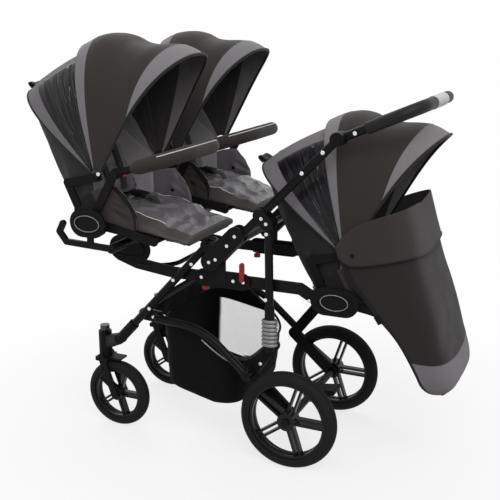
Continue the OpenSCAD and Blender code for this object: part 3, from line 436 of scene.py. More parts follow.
hood_lining = banded_lining("hood lining", 0.26, (grey_dark, grey_light), (lining_dark, lining_light))
window_lining = banded_lining("window lining", 0.52, (lining_dark, lining_light), (shade_dark, shade_light))
black_tape = plain_cloth("black binding", (0.004, 0.004, 0.004), (0.009, 0.009, 0.009), 0.6)


def from_middle(across):
    """0 on the middle line of a cloth and 1 at its sides."""
    return (across * 2.0 - 1.0).absolute()


def hood_tone(shade, uv):
    """Charcoal, with grey on the visor and behind the last seam."""
    across, along, _ = uv.axes()
    side = from_middle(across)
    visor = (1.0 - side * side * side * side * visor_reach ** -4) * visor_share
    band = along.step(band_seam - seam_half, band_seam + seam_half)
    grey_part = (visor - along).step(-seam_half, seam_half) + band
    return shade.mix(grey_part.mix(charcoal_dark, grey_dark), grey_part.mix(charcoal_light, grey_light))


hood_cloth = woven("hood cloth", 0.72, hood_tone)
window_cloth, shader, places, uv = new_finish("window cloth", Coat_Roughness=0.1, Specular_IOR_Level=0.15)
across, along, _ = uv.axes()
past_start, past_end = (along.step(at, at + pane_stitch) for at in (pane_start, pane_end))
film = from_middle(across).step(crest_share, crest_share + 0.012) * past_start * (1.0 - past_end)
shade, height = threads(places)
stretched = uv.node("Mapping", None, {"Vector": uv, "Scale": (7.0, 16.0, 1.0)})
# The film's tone drifts with the sheen noise as a painted sheen. Thin lines along the creases are painted
# pale as painted highlights, standing in for glints of the lamps on the crinkled film.
sheen = stretched.grain(0.6, 2.0)
crease = (1.0 - (stretched.grain(1.0, 0.0) - 0.5).absolute().step(0.0, 0.03)) * sheen.step(0.50, 0.62)
film_tone_with_glints = crease.mix(sheen.mix(film_dark, film_light), (0.20, 0.19, 0.205))
feed(shader, Base_Color=film.mix(shade.mix(grey_dark, grey_light), film_tone_with_glints),
     Roughness=film * -0.50 + 0.78, Coat_Weight=film * 0.09,
     Normal=(height * 0.0004 * (1.0 - film) + (sheen * 0.012 + crease * 0.003) * film).bump(1.0, 0.8))


def evenly(turns, spots, count):
    """Those of the turns whose spots lie an equal length of cloth apart."""
    run = [0.0]
    for before, after in zip(spots, spots[1:]):
        run.append(run[-1] + (after - before).length)
    return [turns[min(range(len(run)), key=lambda i: abs(run[i] - run[-1] * k / count))]
            for k in range(count + 1)]


def bow_side(half_w, power, s):
    return half_w * abs(sin(s)) ** power * (1 if s > 0 else -1)


def even_bow(half_w, reach, power):
    """Turns along a bow, from pin to pin, with an equal length of cloth between them."""
    turns = [(k / 3000 * 2 - 1) * pi / 2 for k in range(3001)]
    spots = [Vector((bow_side(half_w, power, s), (reach - bow_base) * max(cos(s), 0) ** power))
             for s in turns]
    return evenly(turns, spots, bow_columns)


def bow_point(pin, half_w, reach, angle, lean, power, s):
    share = max(cos(s), 0) ** power
    out = bow_base + (reach - bow_base) * share
    turn = radians(angle - lean * share ** lean_power)
    return pin + Vector((out * cos(turn), bow_side(half_w, power, s), out * sin(turn)))


def along_line(points, t):
    """A point on a smooth line through the points, with t from 0 to 1."""
    place = min(t * (len(points) - 1), len(points) - 1.000001)
    k = int(place)
    f = place - k
    a, b = points[max(k - 1, 0)], points[k]
    c, d = points[k + 1], points[min(k + 2, len(points) - 1)]
    return tuple(0.5 * (2 * q + (r - p) * f + (2 * p - 5 * q + 4 * r - s) * f ** 2
                        + (3 * q - p - 3 * r + s) * f ** 3) for p, q, r, s in zip(a, b, c, d))


def seams(v, *places):
    """1 on each seam of a hood and 0 away from them."""
    return sum(exp(-((v - at) / seam_width) ** 2) for at in places)


def away_from(pin, point):
    return (point - pin - Vector((0, point.y - pin.y, 0)) * 0.5).normalized()


front_bow = even_bow(hood_half, hood_reach, front_power)
rear_bow = even_bow(window_half, window_reach, sum(rear_powers) / 2)
for seat in seats:
    pin = joint_at(seat + "_canopy_fold")

    def front_hood(u, v):
        s = front_bow[round(u * bow_columns)]
        w = abs(2 * u - 1)
        seam = seams(v, visor_share * (1 - (w / visor_reach) ** 4), band_seam)
        folds = 0.0022 * noise.noise(Vector((u * 5, v * 6, pin.y * 9))) * (1 - w ** 6)
        power = front_power + rim_round * max(0, 1 - v / rim_share) ** 2
        point = bow_point(pin, hood_half, along_line(crest_line, v)[0], hood_start + hood_sweep * v,
                          hood_lean * (1 - v) ** 2, power, s)
        skirt = skirt_reach * (1 - v) ** 2 * abs(sin(s)) ** 6
        return point + away_from(pin, point) * (0.0016 * seam + folds) + Vector((skirt, 0, 0))

    def rear_hood(u, v):
        s = rear_bow[round(u * bow_columns)]
        w = abs(2 * u - 1)
        seam = seams(v, pane_start + pane_stitch / 2, pane_end + pane_stitch / 2)
        pane = clamp((w - crest_share) / 0.1) * sin(pi * clamp((v - pane_start) / (pane_end - pane_start)))
        crinkle = 0.006 * pane * (0.3 - abs(noise.noise(Vector((u * 15, v * 4, pin.y * 9)))))
        reach, power = (ends[0] + (ends[1] - ends[0]) * v for ends in (window_reaches, rear_powers))
        point = bow_point(pin, window_half, reach - window_dip * sin(pi * v),
                          rear_bow_start + rear_bow_sweep * v, 0, power, s)
        return point + away_from(pin, point) * (0.0014 * seam + crinkle - 0.002 * pane)

    for part, shape, body, cloth, slot, edge in (
        ("_canopy_front", front_hood, seat + "_canopy", (hood_cloth, hood_lining), "charcoal_cloth",
         ("_canopy_rim", 0, piping_radius, "basket_cloth")),
        ("_canopy_rear", rear_hood, seat + "_back", (window_cloth, window_lining), "grey_cloth",
         ("_canopy_hem", 1, hem_radius, "grey_cloth")),
    ):
        hood, area = cloth_piece(seat + part + "_cloth", (bow_columns, hood_rows), shape, (0, 0, 1), body,
                                 slot, cloth_thick, *cloth)
        bow_l = run_length(cross_line(shape, 0.5, bow_columns))
        crest_l = run_length([shape(0.5, k / hood_rows) for k in range(hood_rows + 1)])
        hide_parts(seat + part)
        edge_name, at, radius, edge_slot = edge
        rim = piping(seat + edge_name, cross_line(shape, at, bow_columns), radius, body,
                     black_tape)
        max(crest_l, area / bow_l * 1.02)

    def pull_tab(u, v):
        run = -0.006 + 0.030 * sin(v * pi * 0.96) ** 0.7
        lift = 0.007 * cos(v * pi) + 0.002 * sin(3 * pi * u)
        end = radians(rear_bow_start + rear_bow_sweep)
        along_bow, over_bow = Vector((cos(end), 0, sin(end))), Vector((sin(end), 0, -cos(end)))
        place = along_bow * (tab_reach + run) + over_bow * lift + Vector((0, tab_w * (u - 0.5), 0))
        return pin + place

    tab, area = cloth_piece(seat + "_canopy_tab", (12, 24), pull_tab, (-1, 0, 0.5), seat + "_back",
                            "basket_cloth", thin_cloth, black_tape, black_tape)
    max(0.075, area / tab_w * 1.02)

# Rear springs: a ribbed silver-grey block between each rear leg and its swing arm.
block, shader, places, _ = new_finish("spring block", Metallic=0.35)
cloud = places.grain(60.0, 3.0)
# The grooves between the ribs are painted near-black: painted shade in the grooves, from the depth of each
# rib.
rib_height_for_groove_shade = places.node("Attribute", {"attribute_name": "rib_height_for_groove_shade"}, None, 2).step(0.1, 0.6)
feed(shader, Base_Color=rib_height_for_groove_shade.mix((0.02, 0.02, 0.021), cloud.mix((0.19, 0.192, 0.197), (0.31, 0.315, 0.32))),
     Roughness=cloud * 0.2 + 0.34, Normal=places.grain(1200.0).bump(0.0003, 0.4))
low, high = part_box("dampers")
rib_count, groove_depth, rib_points = 7, 0.004, 8
block_long, block_wide = 1.7, 1.12
block_r = (high.x - low.x) / 2
spring = joints["rear_suspension"]
bm = bmesh.new()
line = []
for k in range(rib_count * rib_points + 1):
    bulge = max(0, sin(pi * (k % rib_points) / rib_points)) ** 0.6
    radius = block_r - groove_depth * (1 - bulge)
    line.append(bm.verts.new((radius, 0, low.z + (high.z - low.z) * k / (rib_count * rib_points))))
edges = [bm.edges.new(pair) for pair in zip(line, line[1:])]
bmesh.ops.spin(bm, geom=line + edges, cent=(0, 0, 0), axis=(0, 0, 1), angle=2 * pi, steps=36,
               use_merge=True)
bmesh.ops.holes_fill(bm, edges=[edge for edge in bm.edges if edge.is_boundary], sides=0)
bmesh.ops.recalc_face_normals(bm, faces=bm.faces[:])
rib_height_for_groove_shade = bm.verts.layers.float.new("rib_height_for_groove_shade")
for vertex in bm.verts:
    vertex[rib_height_for_groove_shade] = 1 - (block_r - vertex.co.xy.length) / groove_depth
block_x, block_y = (low.x + high.x) / 2, high.y - block_r
bmesh.ops.scale(bm, verts=bm.verts[:], vec=(block_long, block_wide, 1))
other = [v for v in bmesh.ops.duplicate(bm, geom=bm.verts[:] + bm.edges[:] + bm.faces[:])["geom"]
         if isinstance(v, bmesh.types.BMVert)]
bmesh.ops.translate(bm, verts=bm.verts[:], vec=(block_x, block_y, 0))
bmesh.ops.translate(bm, verts=other, vec=(0, -2 * block_y, 0))
blocks = new_piece("damper_blocks", bm, "rear_legs", "damper_rubber", block)
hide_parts("dampers")
travel = (block_x - spring["pos_m"][0]) * sin(radians(spring["range_deg"][1]))
1 - 1.35 * travel / (high.z - low.z)
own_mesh(blocks)

# Seat pads, back pads and leg rests: foam in satin polyester with a charcoal border round the edge, sewn
# through in channels. One pad of each size is filled by simulation, and each seat gets its copy.
pad_edge, pad_corner, pull_share = 0.012, 0.016, 0.035
net_size, fill_pressure, fill_frames, base_height = 0.005, 4, 20, 0.003
sewn_wide, sewn_deep = 0.007, 0.007
hem_place, hem_wide, hem_deep = 0.85, 0.004, 0.003
pan_turn, back_turn, back_lean, rear_leg_turn = (radians(turn) for turn in (7, 115, 25, 65))
ahead, upward = (Vector((cos(turn), 0, sin(turn))) for turn in (back_lean, back_lean + pi / 2))
board_wide, board_thick, rod_half, rod_radius = 0.252, 0.004, 0.172, 0.007

satin, shader, places, _ = new_finish("pad satin", Sheen_Weight=0.2, Sheen_Roughness=0.35)
spot = places.node("Attribute", {"attribute_name": "pad_place"}, None, 1)
run, across, depth = spot.axes()
edge = across.absolute().step(0.84, 0.855)
front_edge = run.step(0.90, 0.91) * depth
border = edge.maths("MAXIMUM", edge, front_edge)
shade, height = threads(places)
crumple_and_highlight = places.grain(24.0, 5.0)
# Where the crumple noise is high the satin is glossier and also painted lighter: painted highlights on its
# crumples.
gloss = crumple_and_highlight.step(0.35, 0.75)
tone = border.mix(gloss.mix(satin_dark, satin_light), shade.mix(charcoal_dark, charcoal_light))
feed(shader, Base_Color=tone,
     Roughness=border * 0.35 + (1.0 - border) * (gloss * -0.14 + 0.46) + 0.02,
     Normal=(height * 0.0003 + crumple_and_highlight * 0.004 * (1.0 - border)).bump(1.0, 0.5))


def pad_form(length, width, thick):
    """A crowned pad in its own frame: x along it, y across and z up from its flat underside."""
    bm = bmesh.new()
    bmesh.ops.create_cube(bm, size=1)
    bmesh.ops.subdivide_edges(bm, edges=bm.edges[:], cuts=22, use_grid_fill=True)
    for vertex in bm.verts:
        u, v, w = vertex.co.x + 0.5, vertex.co.y * 2, vertex.co.z + 0.5
        end = 2 * u - 1
        crown = (1 - end ** 6) * (1 - abs(v) ** 5)
        x = length * u - pull_share * length * (1 - v * v) * end - pad_corner * end ** 3 * v ** 8
        y = width / 2 * v - pull_share * width * (1 - end ** 2) * v
        vertex.co = (x, y, w * (pad_edge + (thick - pad_edge) * crown))
    bmesh.ops.recalc_face_normals(bm, faces=bm.faces[:])
    return bm


def filled(name, length, width, thick, channels, cap):
    """The pad's mesh after its cover has been blown up by the filling, with its channels sewn down."""
    bm = pad_form(length, width, thick - 0.004)
    mesh = bpy.data.meshes.new(name)
    bm.to_mesh(mesh)
    bm.free()
    form = bpy.data.objects.new(name, mesh)
    scene.collection.objects.link(form)
    net = form.modifiers.new("net", "REMESH")
    net.mode = "VOXEL"
    net.voxel_size = net_size
    mesh = bpy.data.meshes.new_from_object(form.evaluated_get(bpy.context.evaluated_depsgraph_get()))
    form.modifiers.clear()
    form.data = mesh
    start = [vertex.co.copy() for vertex in mesh.vertices]
    held = form.vertex_groups.new(name="held")
    held.add([v.index for v in mesh.vertices if v.co.z < base_height], 1.0, "REPLACE")
    cover = form.modifiers.new("cover", "CLOTH")
    cover.settings.use_pressure = True
    cover.settings.uniform_pressure_force = fill_pressure
    cover.settings.effector_weights.gravity = 0
    cover.settings.vertex_group_mass = "held"
    for number in range(1, fill_frames + 1):
        scene.frame_set(number)
    swollen = form.evaluated_get(bpy.context.evaluated_depsgraph_get()).data
    for vertex, moved, first in zip(mesh.vertices, swollen.vertices, start):
        step = moved.co - first
        vertex.co = first + step * min(1, cap / max(step.length, 1e-9))
    form.modifiers.clear()
    scene.frame_set(1)
    bm = bmesh.new()
    bm.from_mesh(mesh)
    bpy.data.objects.remove(form)
    bmesh.ops.subdivide_edges(bm, edges=bm.edges[:], cuts=1, use_grid_fill=True)
    bmesh.ops.smooth_vert(bm, verts=bm.verts[:], factor=0.5, use_axis_x=True, use_axis_y=True,
                          use_axis_z=True)
    place = bm.verts.layers.float_vector.new("pad_place")
    for vertex in bm.verts:
        u, v, w = vertex.co.x / length, vertex.co.y * 2 / width, vertex.co.z / thick
        top = clamp(w * 2 - 0.5) * clamp((1 - abs(v)) * 12)
        groove = max(exp(-((u - at) * length / sewn_wide) ** 2) for at in channels)
        hem = exp(-((abs(v) - hem_place) * width / 2 / hem_wide) ** 2)
        ripple = noise.noise(vertex.co * 34) * 0.0035 + noise.noise(vertex.co * 80) * 0.0012
        vertex[place] = (u, v, clamp(w))
        vertex.co.z += top * (ripple - sewn_deep * groove - hem_deep * hem)
    return bm


def pad_piece(name, bm, turn, body, slot, node):
    bm = bm.copy()
    bmesh.ops.transform(bm, matrix=turn, verts=bm.verts[:])
    piece = new_piece(name, bm, body, slot, satin)
    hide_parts(node)
    return piece


def rounded_block(name, size, bevel, lay, body, slot, material):
    """A box with rounded edges. The bevel is the size of an edge and its number of steps."""
    bm = bmesh.new()
    bmesh.ops.create_cube(bm, size=1, matrix=Matrix.Diagonal((*size, 1)))
    bmesh.ops.bevel(bm, geom=bm.edges[:], offset=bevel[0], affect="EDGES", segments=bevel[1], profile=0.5,
                    material=-1)
    bmesh.ops.transform(bm, matrix=lay, verts=bm.verts[:])
    return new_piece(name, bm, body, slot, material)


def laid(place, turn):
    return Matrix.Translation(place) @ Matrix.Rotation(turn, 4, "Y")


seat_form = filled("seat_form", 0.215, 0.300, 0.042, (0.34, 0.67), 0.006)
back_form = filled("back_form", 0.308, 0.280, 0.042, (0.30, 0.55, 0.78), 0.006)
front_leg_form = filled("front_leg_form", 0.084, 0.300, 0.024, (0.5,), 0.005)
rear_leg_form = filled("rear_leg_form", 0.186, 0.292, 0.019, (0.5,), 0.003)
front_leg, rear_leg = (front_leg_form, pan_turn, 0.084), (rear_leg_form, rear_leg_turn, 0.19)
for seat in seats:
    hub, hinge = joint_at(seat + "_recline"), joint_at(seat + "_leg_rest_lift")
    lay_seat = laid(hub + Vector((-0.0258, 0, -0.0084)), pan_turn)
    pad_piece(seat + "_seat_cushion", seat_form, lay_seat, "frame", "pad_satin", seat + "_seat_pad")
    lay_back = laid(hub + upward * 0.044 - ahead * 0.0316, -back_turn) @ Matrix.Rotation(pi, 4, "X")
    pad_piece(seat + "_back_cushion", back_form, lay_back, seat + "_back", "pad_satin", seat + "_back_pad")
    leg_form, leg_turn, leg_l = rear_leg if seat == "rear" else front_leg
    lay_leg = laid(hinge, leg_turn)
    pad_piece(seat + "_leg_cushion", leg_form, lay_leg @ Matrix.Translation((0.0074, 0, 0.0004)),
              seat + "_leg", "pad_satin", seat + "_leg_rest")
    rounded_block(seat + "_leg_board", (leg_l, board_wide, board_thick), (0.0012, 2),
                  lay_leg @ Matrix.Translation((leg_l / 2, 0, -board_thick / 2)), seat + "_leg",
                  "plastic_black", nylon)
    piping(seat + "_leg_rod", [hinge + Vector((0, y, 0)) for y in (-rod_half, -0.06, 0.06, rod_half)],
           rod_radius, seat + "_leg", nylon)

# Side wings and back covers: the sides of each seat are cloth with a charcoal panel outside, painted black
# either side of the panel as painted shade, and satin inside, held by the seat arms and the pan. A dark cover
# with a pale lining hangs behind the back, from the canopy's rear bow to the hubs.
wing_satin = plain_cloth("wing satin", satin_dark, satin_light, 0.42)
wing_cloth, shader, places, uv = new_finish("wing cloth", Specular_IOR_Level=0.25)
across, along, _ = uv.axes()
lean = across + along * 0.16
# Outside the slanted panel the cloth is painted black: painted shade either side of the panel.
panel_part = lean.step(0.52, 0.53) * (1.0 - lean.step(0.98, 0.99))
shade, height = threads(places)
panel_tone = shade.mix((0.036, 0.0305, 0.0285), (0.054, 0.0465, 0.0435))
feed(shader, Base_Color=panel_part.mix(shade.mix(black_dark, black_light), panel_tone),
     Roughness=shade * 0.15 + 0.7, Normal=height.bump(0.0004, 0.45))
back_lining = plain_cloth("back lining", shade_dark, shade_light, 0.42)
cover_cloth = plain_cloth("cover cloth", (0.0085, 0.0082, 0.008), (0.017, 0.0165, 0.016), 0.7)
snap_radius, snap_depth = 0.0065, 0.003


def turned_stud(name, radii, depth, corners, bevel, lay, body, slot, material):
    """A round stud with rounded edges. The bevel is the size of an edge and its number of steps."""
    bm = bmesh.new()
    bmesh.ops.create_cone(bm, cap_ends=True, segments=corners, radius1=radii[0], radius2=radii[1],
                          depth=depth)
    bmesh.ops.bevel(bm, geom=[e for e in bm.edges if e.calc_face_angle(0) > 1], offset=bevel[0],
                    affect="EDGES", segments=bevel[1], profile=0.5, material=-1)
    bmesh.ops.transform(bm, matrix=lay, verts=bm.verts[:])
    return new_piece(name, bm, body, slot, material)


def snap(name, place, facing, body, material):
    """A domed press stud on the cloth, or a rivet."""
    lay = Matrix.Translation(place) @ Vector(facing).to_track_quat("Z", "Y").to_matrix().to_4x4()
    return turned_stud(name, (snap_radius, snap_radius * 0.8), snap_depth, 28, (0.001, 3), lay, body,
                       "bright_metal", material)


wing_low = [(-0.030, -0.012), (0.040, -0.022), (0.128, -0.030)]
wing_high = [(-0.044, 0.060), (0.010, 0.092), (0.076, 0.104)]
wing_out = 0.1685
stud_x, stud_z, dimple_wide = 0.070, 0.030, 0.012
for seat in seats:
    hub, pin = joint_at(seat + "_recline"), joint_at(seat + "_canopy_fold")
    for sign, name in sides:
        def wing(u, v):
            low, high = along_line(wing_low, u), along_line(wing_high, u)
            x = low[0] + (high[0] - low[0]) * v + 0.028 * u ** 3 * sin(pi * v)
            z = low[1] + (high[1] - low[1]) * v
            room = clamp((x - 0.045) / 0.03)
            fold = 0.4 - abs(noise.noise(Vector((u * 7 + v * 4, v * 3 - u, hub.y * 7 + sign))))
            dimple = exp(-((x - stud_x) ** 2 + (z - stud_z) ** 2) / dimple_wide ** 2)
            crease = 0.016 * sin(pi * v) ** 0.5 * max(0, fold)
            sag = room * (0.005 * sin(pi * v) + crease + 0.004 * dimple)
            return hub + Vector((x, sign * (wing_out - abs(sag)), z))

        panel, area = cloth_piece(seat + "_" + name + "_wing", (30, 24), wing, (0, sign, 0), "frame",
                                  "charcoal_cloth", thin_cloth, wing_cloth, wing_satin)
        nearest = min(cross_line(wing, 0.5, 60), key=lambda point: abs(point.x - hub.x - stud_x))
        stud_place = (hub.x + stud_x, nearest.y - sign * 0.0022, wing(0.6, 0.5).z)
        stud = snap(seat + "_" + name + "_wing_snap", stud_place, (0, -sign, 0), "frame", nylon)

    for sign, name in sides:
        snap(seat + "_" + name + "_hood_rivet", pin + Vector((0.010, sign * 0.1772, 0.012)), (0, sign, 0),
             seat + "_canopy", bright)

    def back_cover(u, v):
        s = rear_bow[round(u * bow_columns)]
        w = abs(2 * u - 1)
        high = bow_point(pin, 0.1660, 0.3680, rear_bow_start + rear_bow_sweep - 1.5, 0, rear_powers[1], s)
        low = hub + Vector((-0.104 + 0.110 * w ** 4, 0.1565 * (2 * u - 1), -0.008))
        pleat = 0.005 * cos(u * 50) * sin(pi * v) + 0.007 * noise.noise(Vector((u * 9, v * 1.5, hub.y * 5)))
        point = low.lerp(high, v)
        return point + Vector((-0.018 * sin(pi * v) * (1 - w ** 4) - pleat * (1 - w ** 6), 0, 0))

    cover, area = cloth_piece(seat + "_back_cover", (bow_columns, 40), back_cover, (-1, 0, 0.3),
                              seat + "_back", "charcoal_cloth", thin_cloth, cover_cloth, back_lining)
    hem = piping(seat + "_back_cover_hem", cross_line(back_cover, 0, bow_columns), 0.003, seat + "_back",
                 black_tape)
    wide = run_length(cross_line(back_cover, 0.5, bow_columns))
    max(0.40, area / wide * 1.02)

# Seat liners: a loose satin sheet lies over each seat pad, and on the front seats it runs on over the leg
# rest. It is crumpled from sitting, with pale piping along the sides of its rear half.
liner_satin, shader, places, uv = new_finish("liner satin", Sheen_Weight=0.15, Sheen_Roughness=0.3,
                                             Specular_IOR_Level=0.8)
# The crumpled patches are glossier and are also painted in a lighter tone: painted highlights on the
# crumples.
crumple_and_highlight = places.grain(11.0, 2.0)
liner_dark, liner_highlight = (0.098, 0.092, 0.100), (0.185, 0.175, 0.189)
shade, height = threads(places)
across, along, _ = uv.axes()
beside = from_middle(across)
border = beside.maths("MAXIMUM", beside.step(0.640, 0.652), along.step(0.835, 0.843))
tone = border.mix(crumple_and_highlight.mix(liner_dark, liner_highlight), shade.mix(charcoal_dark, charcoal_light))
wrinkle = (places.grain(17.0, 1.5) - 0.5).absolute() * 0.016 * (1.0 - border)
feed(shader, Base_Color=tone, Roughness=crumple_and_highlight * -0.30 * (1.0 - border) + border * 0.3 + 0.37,
     Normal=(height * 0.0002 + wrinkle).bump(1.0, 0.6))
pale_tape = plain_cloth("pale piping", (0.55, 0.54, 0.54), (0.75, 0.74, 0.73), 0.4)
liner_half, skirt_share = 0.137, 0.24
liner_run = [(0.014, 0.0500), (0.052, 0.0515), (0.110, 0.0515), (0.160, 0.0480), (0.188, 0.0400),
             (0.206, 0.0315), (0.240, 0.0275), (0.270, 0.0255), (0.286, 0.0190), (0.2925, 0.0040)]
for seat in seats:
    hub, hinge = joint_at(seat + "_recline"), joint_at(seat + "_leg_rest_lift")
    route = liner_run[:5] if seat == "rear" else liner_run
    tilt = laid(hub + Vector((0, 0, -0.012)), pan_turn)

    def liner(u, v):
        across = 2 * u - 1
        drop = max(0, (abs(across) - 1 + skirt_share) / skirt_share)
        y = liner_half * max(-1, min(1, across / (1 - skirt_share)))
        run, rise = along_line(route, v)
        run -= 0.020 * v ** 6 * abs(across) ** 5
        crown = rise * (1 - 0.36 * abs(y / liner_half) ** 6)
        spot = Vector((run, y, hub.y * 3))
        crease = 0.030 * (0.28 - abs(noise.noise(spot * 15))) + 0.003 * noise.noise(spot * 46)
        lift = clamp((0.27 - run) / 0.03) * (1 - min(1, abs(across) / 0.72) ** 8)
        top = crown + max(-0.001, crease) * lift
        y += (1 if across > 0 else -1) * 0.0155 * sin(drop * pi / 2)
        return tilt @ Vector((run, y, top + (min(top, 0.007) - top) * drop ** 1.6))

    sheet, area = cloth_piece(seat + "_seat_liner", (64, 72), liner, (0, 0, 1),
                              "frame" if seat == "rear" else None, "pad_satin", 0.0014, liner_satin,
                              liner_satin)
    long = run_length([Vector(along_line(route, k / 40)) for k in range(41)])
    wide = 2 * liner_half + 0.09
    for side, name in ((0.180, "left"), (0.820, "right")):
        piping(seat + "_" + name + "_liner_piping", [liner(side, k / 72) for k in range(2, 36)], 0.0013,
               "frame", pale_tape)
    if seat != "rear":
        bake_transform(sheet)

# Harness: black webbing over the shoulders, sewn to the back, and a crotch strap that comes up through
# the seat pad and ends in a moulded buckle.
webbing = plain_cloth("harness webbing", (0.006, 0.006, 0.006), (0.013, 0.013, 0.013), 0.6)
strap_wide, crotch_wide, web_thick = 0.025, 0.028, 0.0018
crotch_run = [(0.112, 0.022), (0.104, 0.038), (0.088, 0.047), (0.064, 0.051)]
for seat in seats:
    hub = joint_at(seat + "_recline")
    for sign, name in sides:
        def strap(u, v):
            run = 0.062 + 0.236 * v
            out = 0.0165 + 0.003 * sin(pi * v) - 0.012 * v ** 8 - 0.012 * (1 - v) ** 8
            y = sign * (0.034 + 0.022 * v) + strap_wide * (u - 0.5)
            return hub + upward * run + ahead * out + Vector((0, y, 0))

        cloth_piece(seat + "_" + name + "_shoulder_strap", (6, 30), strap, ahead, seat + "_back",
                    "basket_cloth", web_thick, webbing, webbing)

    def crotch(u, v):
        x, z = along_line(crotch_run, v)
        return hub + Vector((x, crotch_wide * (u - 0.5), z))

    cloth_piece(seat + "_crotch_strap", (6, 20), crotch, (0, 0, 1), "frame", "basket_cloth", web_thick,
                webbing, webbing)
    rounded_block(seat + "_buckle", (0.046, 0.042, 0.014), (0.006, 4),
                  laid(hub + Vector((0.050, 0, 0.052)), radians(8)), "frame", "plastic_black", nylon)

# Bumper bars: a bent steel bar in a padded charcoal sleeve with pale piping along its upper front edge, and
# moulded joints that press onto the pins of the seat arms.
sleeve_cloth = plain_cloth("sleeve cloth", charcoal_dark, charcoal_light, 0.72)
bumper_reach, bumper_half, bumper_bend, bumper_turn = 0.176, 0.1706, 0.120, radians(-17)
sleeve_radius, sleeve_most, bar_radius = 0.0208, 0.0225, 0.010
sleeve_start, sleeve_columns = 0.050, 90
joint_radius, joint_long, joint_out = 0.015, 0.015, 0.1731


def bumper_route(start, count):
    """Points along the bar, from its near end to its far end, in the bar's own plane."""
    arm, bend = bumper_reach - bumper_bend - start, bumper_bend * pi / 2
    cross = 2 * (bumper_half - bumper_bend)
    total = 2 * (arm + bend) + cross
    for k in range(count + 1):
        run = total * k / count
        side = -1 if run <= total / 2 else 1
        run = min(run, total - run)
        if run < arm:
            yield Vector((start + run, side * bumper_half, 0))
        elif run < arm + bend:
            turn = (run - arm) / bumper_bend
            yield Vector((bumper_reach - bumper_bend + bumper_bend * sin(turn),
                          side * (bumper_half - bumper_bend + bumper_bend * cos(turn)), 0))
        else:
            yield Vector((bumper_reach, side * (bumper_half - bumper_bend - (run - arm - bend)), 0))


for seat in ("front_left", "front_right"):
    bar_pin = joint_at(seat + "_bumper_lift")
    lay = laid(bar_pin, bumper_turn)
    body = seat + "_bumper"
    route = list(bumper_route(sleeve_start, sleeve_columns))
    steps = [(b - a).normalized() for a, b in zip(route, route[1:])]
    outs = [Vector((step.y, -step.x, 0)) for step in steps + steps[-1:]]

    def sleeve(u, v):
        k = round(u * sleeve_columns)
        w = min(u, 1 - u) * 2
        turn = v * 2 * pi
        plump = sleeve_radius * min(1, (w * 9 + 0.02)) ** 0.22
        plump *= 1 + 0.025 * noise.noise(Vector((u * 40, cos(turn), sin(turn) + bar_pin.y)))
        plump = min(plump, sleeve_most)
        out = outs[k] * (-1 if outs[k].dot(route[k] - Vector((bumper_reach / 3, 0, 0))) < 0 else 1)
        return lay @ (route[k] + out * plump * cos(turn) + Vector((0, 0, plump * sin(turn))))

    bm = cloth_grid(sleeve_columns, 24, sleeve, (0, 0, 1))
    bmesh.ops.remove_doubles(bm, verts=bm.verts[:], dist=0.0001)
    bmesh.ops.holes_fill(bm, edges=[edge for edge in bm.edges if edge.is_boundary], sides=0)
    bmesh.ops.recalc_face_normals(bm, faces=bm.faces[:])
    cover = new_piece(seat + "_bumper_sleeve", bm, body, "charcoal_cloth", sleeve_cloth)
    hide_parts(body)
    piping(seat + "_bumper_piping", [sleeve(k / sleeve_columns, 0.11) for k in range(14, 77)], 0.0016, body,
           pale_tape)
    for side, name in sides:
        end = [Vector((x, side * bumper_half, 0)) for x in (-0.006, 0.02, 0.04, sleeve_start + 0.004)]
        piping(seat + "_bumper_" + name + "_end", [lay @ point for point in end], bar_radius, body,
               nylon)
        lay_joint = lay @ Matrix.Translation((0, side * joint_out, 0)) @ Matrix.Rotation(pi / 2, 4, "X")
        turned_stud(seat + "_bumper_" + name + "_joint", (joint_radius, joint_radius), joint_long, 40,
                    (0.002, 2), lay_joint, body, "plastic_black", nylon)
        lay_release = lay @ Matrix.Translation((0.024, side * bumper_half, -0.0115))
        rounded_block(seat + "_bumper_" + name + "_release", (0.011, 0.008, 0.007), (0.002, 3), lay_release,
                      body, "red_plastic", red)

# Foot muff: a charcoal apron clipped round the front of the rear seat. Its top is folded over into a flap,
# and a grey band closes the toe. The place of the label is left bare.
muff_half, muff_columns = 0.184, 80
toe_line, toe_slope, toe_power = 0.742, 0.12, 1.7
collar_share = 0.35
muff_rear = [(-0.0068, 0.1538), (0.0135, 0.0992), (0.0406, 0.0496), (0.0811, 0.005), (0.1217, -0.0397),
             (0.169, -0.0893), (0.2028, -0.1389), (0.2298, -0.1885), (0.2467, -0.2232), (0.2704, -0.243),
             (0.2974, -0.248)]
muff_front = [(0.1893, 0.2306), (0.2028, 0.1786), (0.2197, 0.124), (0.2366, 0.0694), (0.2569, 0.0149),
              (0.2738, -0.0397), (0.2907, -0.0942), (0.3076, -0.1438), (0.3245, -0.1885), (0.3312, -0.2282),
              (0.311, -0.248)]
muff_dark, muff_light, hem_tone = (0.0135, 0.0105, 0.0108), (0.024, 0.0188, 0.0195), (0.007, 0.0068, 0.0068)


def muff_tone(shade, uv):
    """Charcoal, with a grey toe and black hems."""
    across, along, _ = uv.axes()
    beside = from_middle(across)
    toe = (along + beside.maths("POWER", beside, toe_power) * toe_slope).step(toe_line, toe_line + 0.005)
    body_tone = shade.mix(toe.mix(muff_dark, grey_dark), toe.mix(muff_light, grey_light))
    return beside.step(0.953, 0.957).mix(body_tone, hem_tone)


muff_cloth = woven("muff cloth", 0.72, muff_tone)
muff_hub = joint_at("rear_recline")


